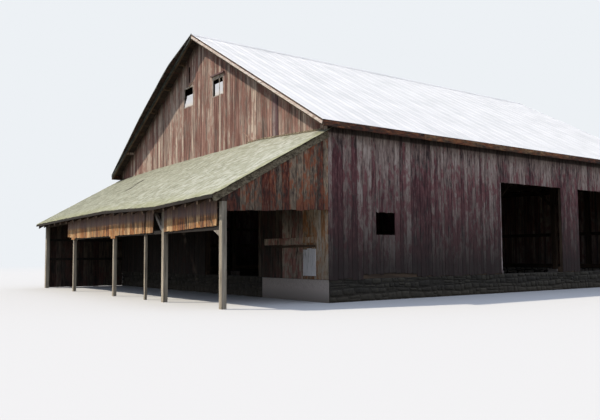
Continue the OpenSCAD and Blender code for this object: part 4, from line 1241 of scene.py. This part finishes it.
STONE = stone_pattern()
PROUD, STONE_DEPTH = 0.015, 0.11
COURSE_STOPS, STONE_LENGTHS = (0.012, 0.20, 0.36, 0.51, 0.655), (0.16, 0.24, 0.33, 0.45, 0.6)
JOINT, SHORTEST_STONE = 0.007, 0.14
WALL_FACES = {"front": (TO_REAR, -FRONT_Y), "rear": (TO_FRONT, REAR_Y), "right": (TO_LEFT, HALF_W),
              "left": (TO_RIGHT, HALF_W)}


def bed(k, u):
    """Height of the joint under a course, which wanders along the wall."""
    if k in (0, len(COURSE_STOPS) - 1):
        return COURSE_STOPS[k]
    return COURSE_STOPS[k] + 0.035 * math.sin(1.3 * u + 2.1 * k) + 0.022 * math.sin(3.7 * u + k)


def stone_rows(seed, start, end):
    """Rough courses of field stones of different lengths, some of them split in two flat ones."""
    rng = random.Random(seed)
    rows = []
    for k in range(len(COURSE_STOPS) - 1):
        at = start
        while at < end - 0.05:
            width = min(rng.choice(STONE_LENGTHS) * rng.uniform(0.85, 1.15), end - at)
            if end - at - width < SHORTEST_STONE:
                width = end - at
            low = max(bed(k, at), bed(k, at + width)) + JOINT
            tops = [bed(k + 1, u) - JOINT for u in (at, at + width)]
            middle = low + (min(tops) - low) * rng.uniform(0.4, 0.6)
            split = rng.random() < 0.25
            spans = [(low, middle - JOINT, middle - JOINT), (middle + JOINT, *tops)] if split else [(low, *tops)]
            for span in spans:
                rows.append((at + JOINT, width - 2 * JOINT, *span, rng.random(), rng.uniform(-0.010, 0.008),
                             rng.uniform(-0.05, 0.05)))
            at += width
    return rows


def stones(seed, wall, start, end, inside):
    """The stones on the outer or inner face of one foundation wall."""
    inward, reach = Vector(WALL_FACES[wall][0]), WALL_FACES[wall][1]
    face = -inward * (reach - SIDING)
    if inside:
        place = placed(face + inward * (FOUNDATION_T + PROUD), -inward, UP)
    else:
        place = placed(face - inward * PROUD, inward, UP)
    flip = -1 if (wall in ("rear", "left")) != inside else 1
    a, b = sorted((flip * start, flip * end))
    # painted shade: every wall but the rear gets the near-black stone
    finish = field_stone if wall == "rear" else shade_darkened_damp_stone
    return boards(stone_rows(seed, a, b), place, finish, thickness=STONE_DEPTH, warp=0.012, wander=0.014,
                  rag=0.0, pattern=STONE)


FOUNDATION_T = levels("side_foundations", 0)[1] - levels("side_foundations", 0)[0]
FOUNDATION_Y = (FRONT_Y + SIDING, REAR_Y - SIDING)
PLASTERED = FRONT_DOOR[1] + 0.2
walls = [("front", -INNER_W, PLASTERED), ("rear", -INNER_W, INNER_W), ("right", *FOUNDATION_Y),
         ("left", *FOUNDATION_Y)]
laid = []
for k, (wall, start, end) in enumerate(walls):
    laid.append(stones(100 + k, wall, start, end, False))
    laid.append(stones(110 + k, wall, start + FOUNDATION_T, min(end, INNER_W) - FOUNDATION_T, True))
coat = boards([(PLASTERED, INNER_W - 0.01 - PLASTERED, 0.004, SILL_Z - 0.012, SILL_Z - 0.012, 0.4, 0.0, 0.0)],
              placed((0, FRONT_Y + SIDING - 0.010, 0), TO_REAR, UP), mortar, thickness=0.010, warp=0.002, rag=0.0)
piece_from("foundation_stones", [*laid, coat], "stone")

# %% [markdown]
# The gable windows have lost their glass. A sheet of clouded plastic closes the lower half, torn
# at its left edge in the left window. The right window keeps its middle bar and a head board.
# Bars are boxes with their edges taken off by a bevel, because a sawn edge always catches a
# little light.

# %% Windows of the gables


def beveled_boxes(boxes, bevel, finish):
    """One mesh of boxes, each given by its two corners, with beveled edges."""
    build = bmesh.new()
    for low, high in boxes:
        for v in bmesh.ops.create_cube(build, size=1.0)["verts"]:
            v.co = Vector([l + (c + 0.5) * (h - l) for c, l, h in zip(v.co, low, high)])
    bmesh.ops.bevel(build, geom=build.edges[:], offset=bevel, segments=2, affect="EDGES", profile=0.6)
    mesh = bpy.data.meshes.new("bars")
    build.to_mesh(mesh)
    build.free()
    mesh.materials.append(finish)
    return mesh


def cloudy_finish():
    """Old plastic or dusty glass that lets light through as white haze."""
    material, put, place = new_material("cloudy_window_sheet")
    haze = put("TexNoise", place, named={"Scale": 3.0, "Detail": 4.0})
    height = put("SeparateXYZ", place).outputs[2]
    # Painted reflection: the sheet goes from cream low down to bluish towards its top, like the sky reflected in it.
    up = put("MapRange", height, GABLE_WINDOWS[0][2], GABLE_WINDOWS[0][2] + 0.35)
    shade = put("ValToRGB", up, stops=((0.15, "#F3E6D3"), (0.55, "#F4F5F8"), (0.95, "#E8EDF6")))
    shade = put("MixRGB", haze, linear("#DDE0E4"), shade)
    return finished(material, put("BsdfPrincipled", named={
        "Base Color": shade, "Roughness": 0.28, "IOR": 1.5, "Coat Weight": 0.3}))


cloudy = cloudy_finish()
frame_paint = old_boards("window_frame_paint", ("#6E625A", "#94867A", "#B3A698", "#D1C6B8"),
                         ("#C9BDAE", "#D9CFC1", "#E5DED3"), 0.5)
BAR, BAR_D, PANE_T, MIDDLE_BAR = 0.035, 0.045, 0.008, 0.62
SHEET_TOP = GABLE_WINDOWS[0][2] + 0.47


def window_bars(left, right, low, top, back, front, divided):
    """The bars around a window. The right window has a middle bar and a head board as well."""
    bars = [((left, back, low), (left + BAR, front, top)), ((right - BAR, back, low), (right, front, top)),
            ((left + BAR, back, low), (right - BAR, front, low + BAR)),
            ((left + BAR, back, top - BAR), (right - BAR, front, top))]
    if divided:
        middle, inset = left + (right - left) * MIDDLE_BAR, 0.010
        bars += [((middle - BAR * 0.4, back + inset, low + BAR), (middle + BAR * 0.4, front - inset, top - BAR)),
                 ((left + BAR, back + inset, top - 0.15), (right - BAR, front - inset, top - BAR))]
    return bars


def cut_sheet(outline, y):
    """A thin sheet of clouded plastic with the given outline in X and Z."""
    points, faces = prism(outline, (y - PANE_T / 2, y + PANE_T / 2))
    return mesh_of("window_sheet", [(x, v, z) for x, z, v in points], [face[::-1] for face in faces], cloudy)


def torn_edge(left, low, top):
    """The edge of the torn sheet, which is left from the lower corner up to a quarter of the width."""
    cuts = 7
    return [(left + 0.01 + 0.20 * math.sin(k / cuts * math.pi / 2) ** 2 + 0.012 * math.sin(k * 2.3),
             low + (top - low) * k / cuts) for k in range(cuts + 1)]


bars, sheets = [], []
for out, face in ((-1, FRONT_Y), (1, REAR_Y)):
    back, front = sorted((face, face - out * BAR_D))
    y = (back + front) / 2
    for k, (left, right, low, top) in enumerate(GABLE_WINDOWS):
        divided = k == 1
        bars += window_bars(left, right, low, top, back, front, divided)
        a, b, foot = left + BAR + FIT, right - BAR - FIT, low + BAR + FIT
        if divided:
            middle = left + (right - left) * MIDDLE_BAR
            halves = [(a + 0.14, middle - BAR * 0.4 - FIT), (middle + BAR * 0.4 + FIT, b)]
            sheets += [cut_sheet([(u, foot), (v, foot), (v, SHEET_TOP), (u, SHEET_TOP)], y) for u, v in halves]
        else:
            sheets.append(cut_sheet([(b, SHEET_TOP), *torn_edge(a, foot, SHEET_TOP)[::-1], (b, foot)], y))
piece_from("gable_window_frames", [beveled_boxes(bars, 0.004, frame_paint)], "pale_trim", "window_frames")
piece_from("gable_window_sheets", sheets, "window_pane", "window_panes")

# %% [markdown]
# A few loose pieces give the gable its age: the drip board over the right window, a pale board
# that has come off and leans low on the wall, and a short one over the left window. Under the
# lean-to a rail with a pale block at its end, a dark strip below it and three whitewashed boards
# are nailed on the wall. The dark strip is the rail's painted shadow, and the pale block has the
# painted-light finish of the corner boards. One lookout under the left edge of the roof has a pale board on its side.
# Narrow boards close the joint between the lean-to's roof and the gable, a wide one edges its open
# end, and a pale one edges the first wagon doorway.

# %% Loose boards on the gable
whitewash = old_boards("flaking_whitewash", ("#B8B8B4", "#E6E4DE", "#F0EEEA", "#F8F6F4"),
                       ("#E8E6E2", "#F0EEEA", "#F6F4F2"), 0.6)


ALL_TONE = 0.8


def single_board(a, b, width, out, finish, thickness=0.022, inward=TO_REAR):
    """One board from a to b, lying on a wall, with its outer face the given distance in front."""
    a, b, inward = Vector(a), Vector(b), Vector(inward)
    length, place = (b - a).length, placed(a - inward * out, inward, b - a)
    return boards([(-width / 2, width, 0.0, length, length, ALL_TONE, 0.0, 0.0)], place, finish,
                  thickness=thickness, warp=0.002, rag=0.01)


def on_gable(x0, z0, x1, z1, *look):
    """A single board on the front of the barn, by the places of its two ends."""
    return single_board((x0, FRONT_Y, z0), (x1, FRONT_Y, z1), *look)


def roof_line(x):
    """Height of the joint between the lean-to's roof and the gable."""
    return float(lean_top(x, LEAN_BACK)) + 0.02


left_window, right_window = GABLE_WINDOWS
DRIP_Z = right_window[3] - 0.01
drip = on_gable(right_window[0] - 0.04, DRIP_Z, right_window[1] + 0.10, DRIP_Z, 0.055, 0.07, dark_board_finish, 0.07)
loose = on_gable(3.66, 5.10, 3.06, 5.50, 0.034, 0.022, hanging_finish)
short = on_gable(left_window[1] - 0.34, left_window[3] + 0.01, left_window[1] - 0.04, left_window[3] + 0.13,
                 0.05, 0.024, hanging_finish)
RAIL_X0, RAIL_X1, BLOCK_X1 = FRONT_DOOR[1] + 0.4, 6.40, 7.02
# The third board is the rail's painted shadow, a dark strip just under it.
rail = [on_gable(a, z, b, z, height, out, finish, out) for a, b, z, height, out, finish in (
    (RAIL_X0, RAIL_X1, 1.755, 0.20, 0.03, shaded_finish), (RAIL_X1 + 0.01, BLOCK_X1, 1.78, 0.17, 0.034, painted_light_corner_finish),
    (RAIL_X0 + 0.5, BLOCK_X1, 1.60, 0.07, 0.022, brown[0]))]
patches = [on_gable(x, 0.74, x, top, 0.195, 0.02, whitewash) for x, top in ((6.53, 1.50), (6.73, 1.54), (6.93, 1.52))]
LOOKOUT_X, LOOKOUT_Z = -6.30, 5.92
lookout = single_board((LOOKOUT_X, FRONT_Y, LOOKOUT_Z), (LOOKOUT_X, ROOF_Y0 + 0.05, LOOKOUT_Z), 0.10, 0.0,
                       frieze_finish, 0.006, TO_LEFT)
stops = (3.3, 4.17, 5.5, 6.6, 7.4)
joint = [on_gable(a, roof_line(a), b, roof_line(b), 0.045, 0.012, barge_finish) for a, b in zip(stops, stops[1:])]
ends = [(HALF_W, y, under_lean_deck(HALF_W, y, 0.105)) for y in (LEAN_TIP + 0.06, FRONT_Y - 0.002)]
barge = single_board(*ends, 0.18, 0.026, barge_finish, 0.024, TO_LEFT)
ends = [(HALF_W, DOOR_1[0] - 0.03, z) for z in (SILL_Z + 0.06, DOOR_HEAD - 0.02)]
jamb = single_board(*ends, 0.045, 0.014, frieze_finish, 0.013, TO_LEFT)
piece_from("loose_gable_boards", [drip, loose, short, *rail, *patches, lookout, *joint, barge, jamb], "gable_boards")

# %% [markdown]
# The stage is a pale floor and plain light. A low sun comes from the left and the front, as the
# shadow of the roof's edge on the gable shows, and the sky fills the shade. The floor and the
# sky look pale to the camera and in reflections. They send little light up, so the inside of the
# barn and the space under the lean-to stay dark.

# %% Floor
FLOOR_SIZE, FLOOR_FADE = 380.0, (26.0, 85.0)
BACKDROP, BACKDROP_STRENGTH = "#EDF1F5", 1.0


def floor_finish():
    """A pale matt floor that fades into the backdrop with distance from the barn."""
    material, put, place = new_material("pale_floor")
    rays = put("LightPath").outputs
    distance = put("VectorMath", place, operation="LENGTH").outputs["Value"]
    far = put("MapRange", distance, *FLOOR_FADE, interpolation_type="SMOOTHSTEP")
    shade = put("MixRGB", rays["Is Camera Ray"], linear("#5E5D58"), linear("#CDCECC"))
    matt = put("BsdfDiffuse", shade)
    glow = put("Emission", linear(BACKDROP), BACKDROP_STRENGTH)
    seen = put("Math", rays["Is Camera Ray"], rays["Is Glossy Ray"], operation="MAXIMUM")
    share = put("Math", far, seen, operation="MULTIPLY")
    return finished(material, put("MixShader", share, matt, glow))


corners = [(x * FLOOR_SIZE, y * FLOOR_SIZE, 0) for x, y in ((-1, -1), (1, -1), (1, 1), (-1, 1))]
floor = linked("floor", mesh_of("floor", corners, [(0, 1, 2, 3)], floor_finish()))

# %% Light
TO_SUN = Vector((-0.42, -0.465, 0.779))
SUN_STRENGTH, SUN_ANGLE = 3.45, 2.0
SKY_LOW, SKY_HIGH = 0.2, 1.1
sun = linked("sun", bpy.data.lights.new("sun", "SUN"))
sun.data.energy, sun.data.angle = SUN_STRENGTH, math.radians(SUN_ANGLE)
sun.data.color = linear("#FFF3E2")[:3]
sun.matrix_world = TO_SUN.to_track_quat("Z", "Y").to_matrix().to_4x4()
world = bpy.data.worlds.new("sky")
world.use_nodes = True
world.node_tree.nodes.clear()
put = partial(add, world.node_tree)
rays = put("LightPath").outputs
seen = put("Math", rays["Is Camera Ray"], rays["Is Glossy Ray"], operation="MAXIMUM")
seen = put("Math", seen, rays["Is Transmission Ray"], operation="MAXIMUM")
up = put("SeparateXYZ", put("TexCoord").outputs["Generated"]).outputs[2]
sky = put("MapRange", up, 0.0, 0.9, SKY_LOW, SKY_HIGH)
fill = put("Background", linear("#DDE7FF"), sky)
pale = put("Background", linear(BACKDROP), BACKDROP_STRENGTH)
put("OutputWorld", put("MixShader", seen, fill, pale))
bpy.context.scene.world = world
print("sun and sky set")
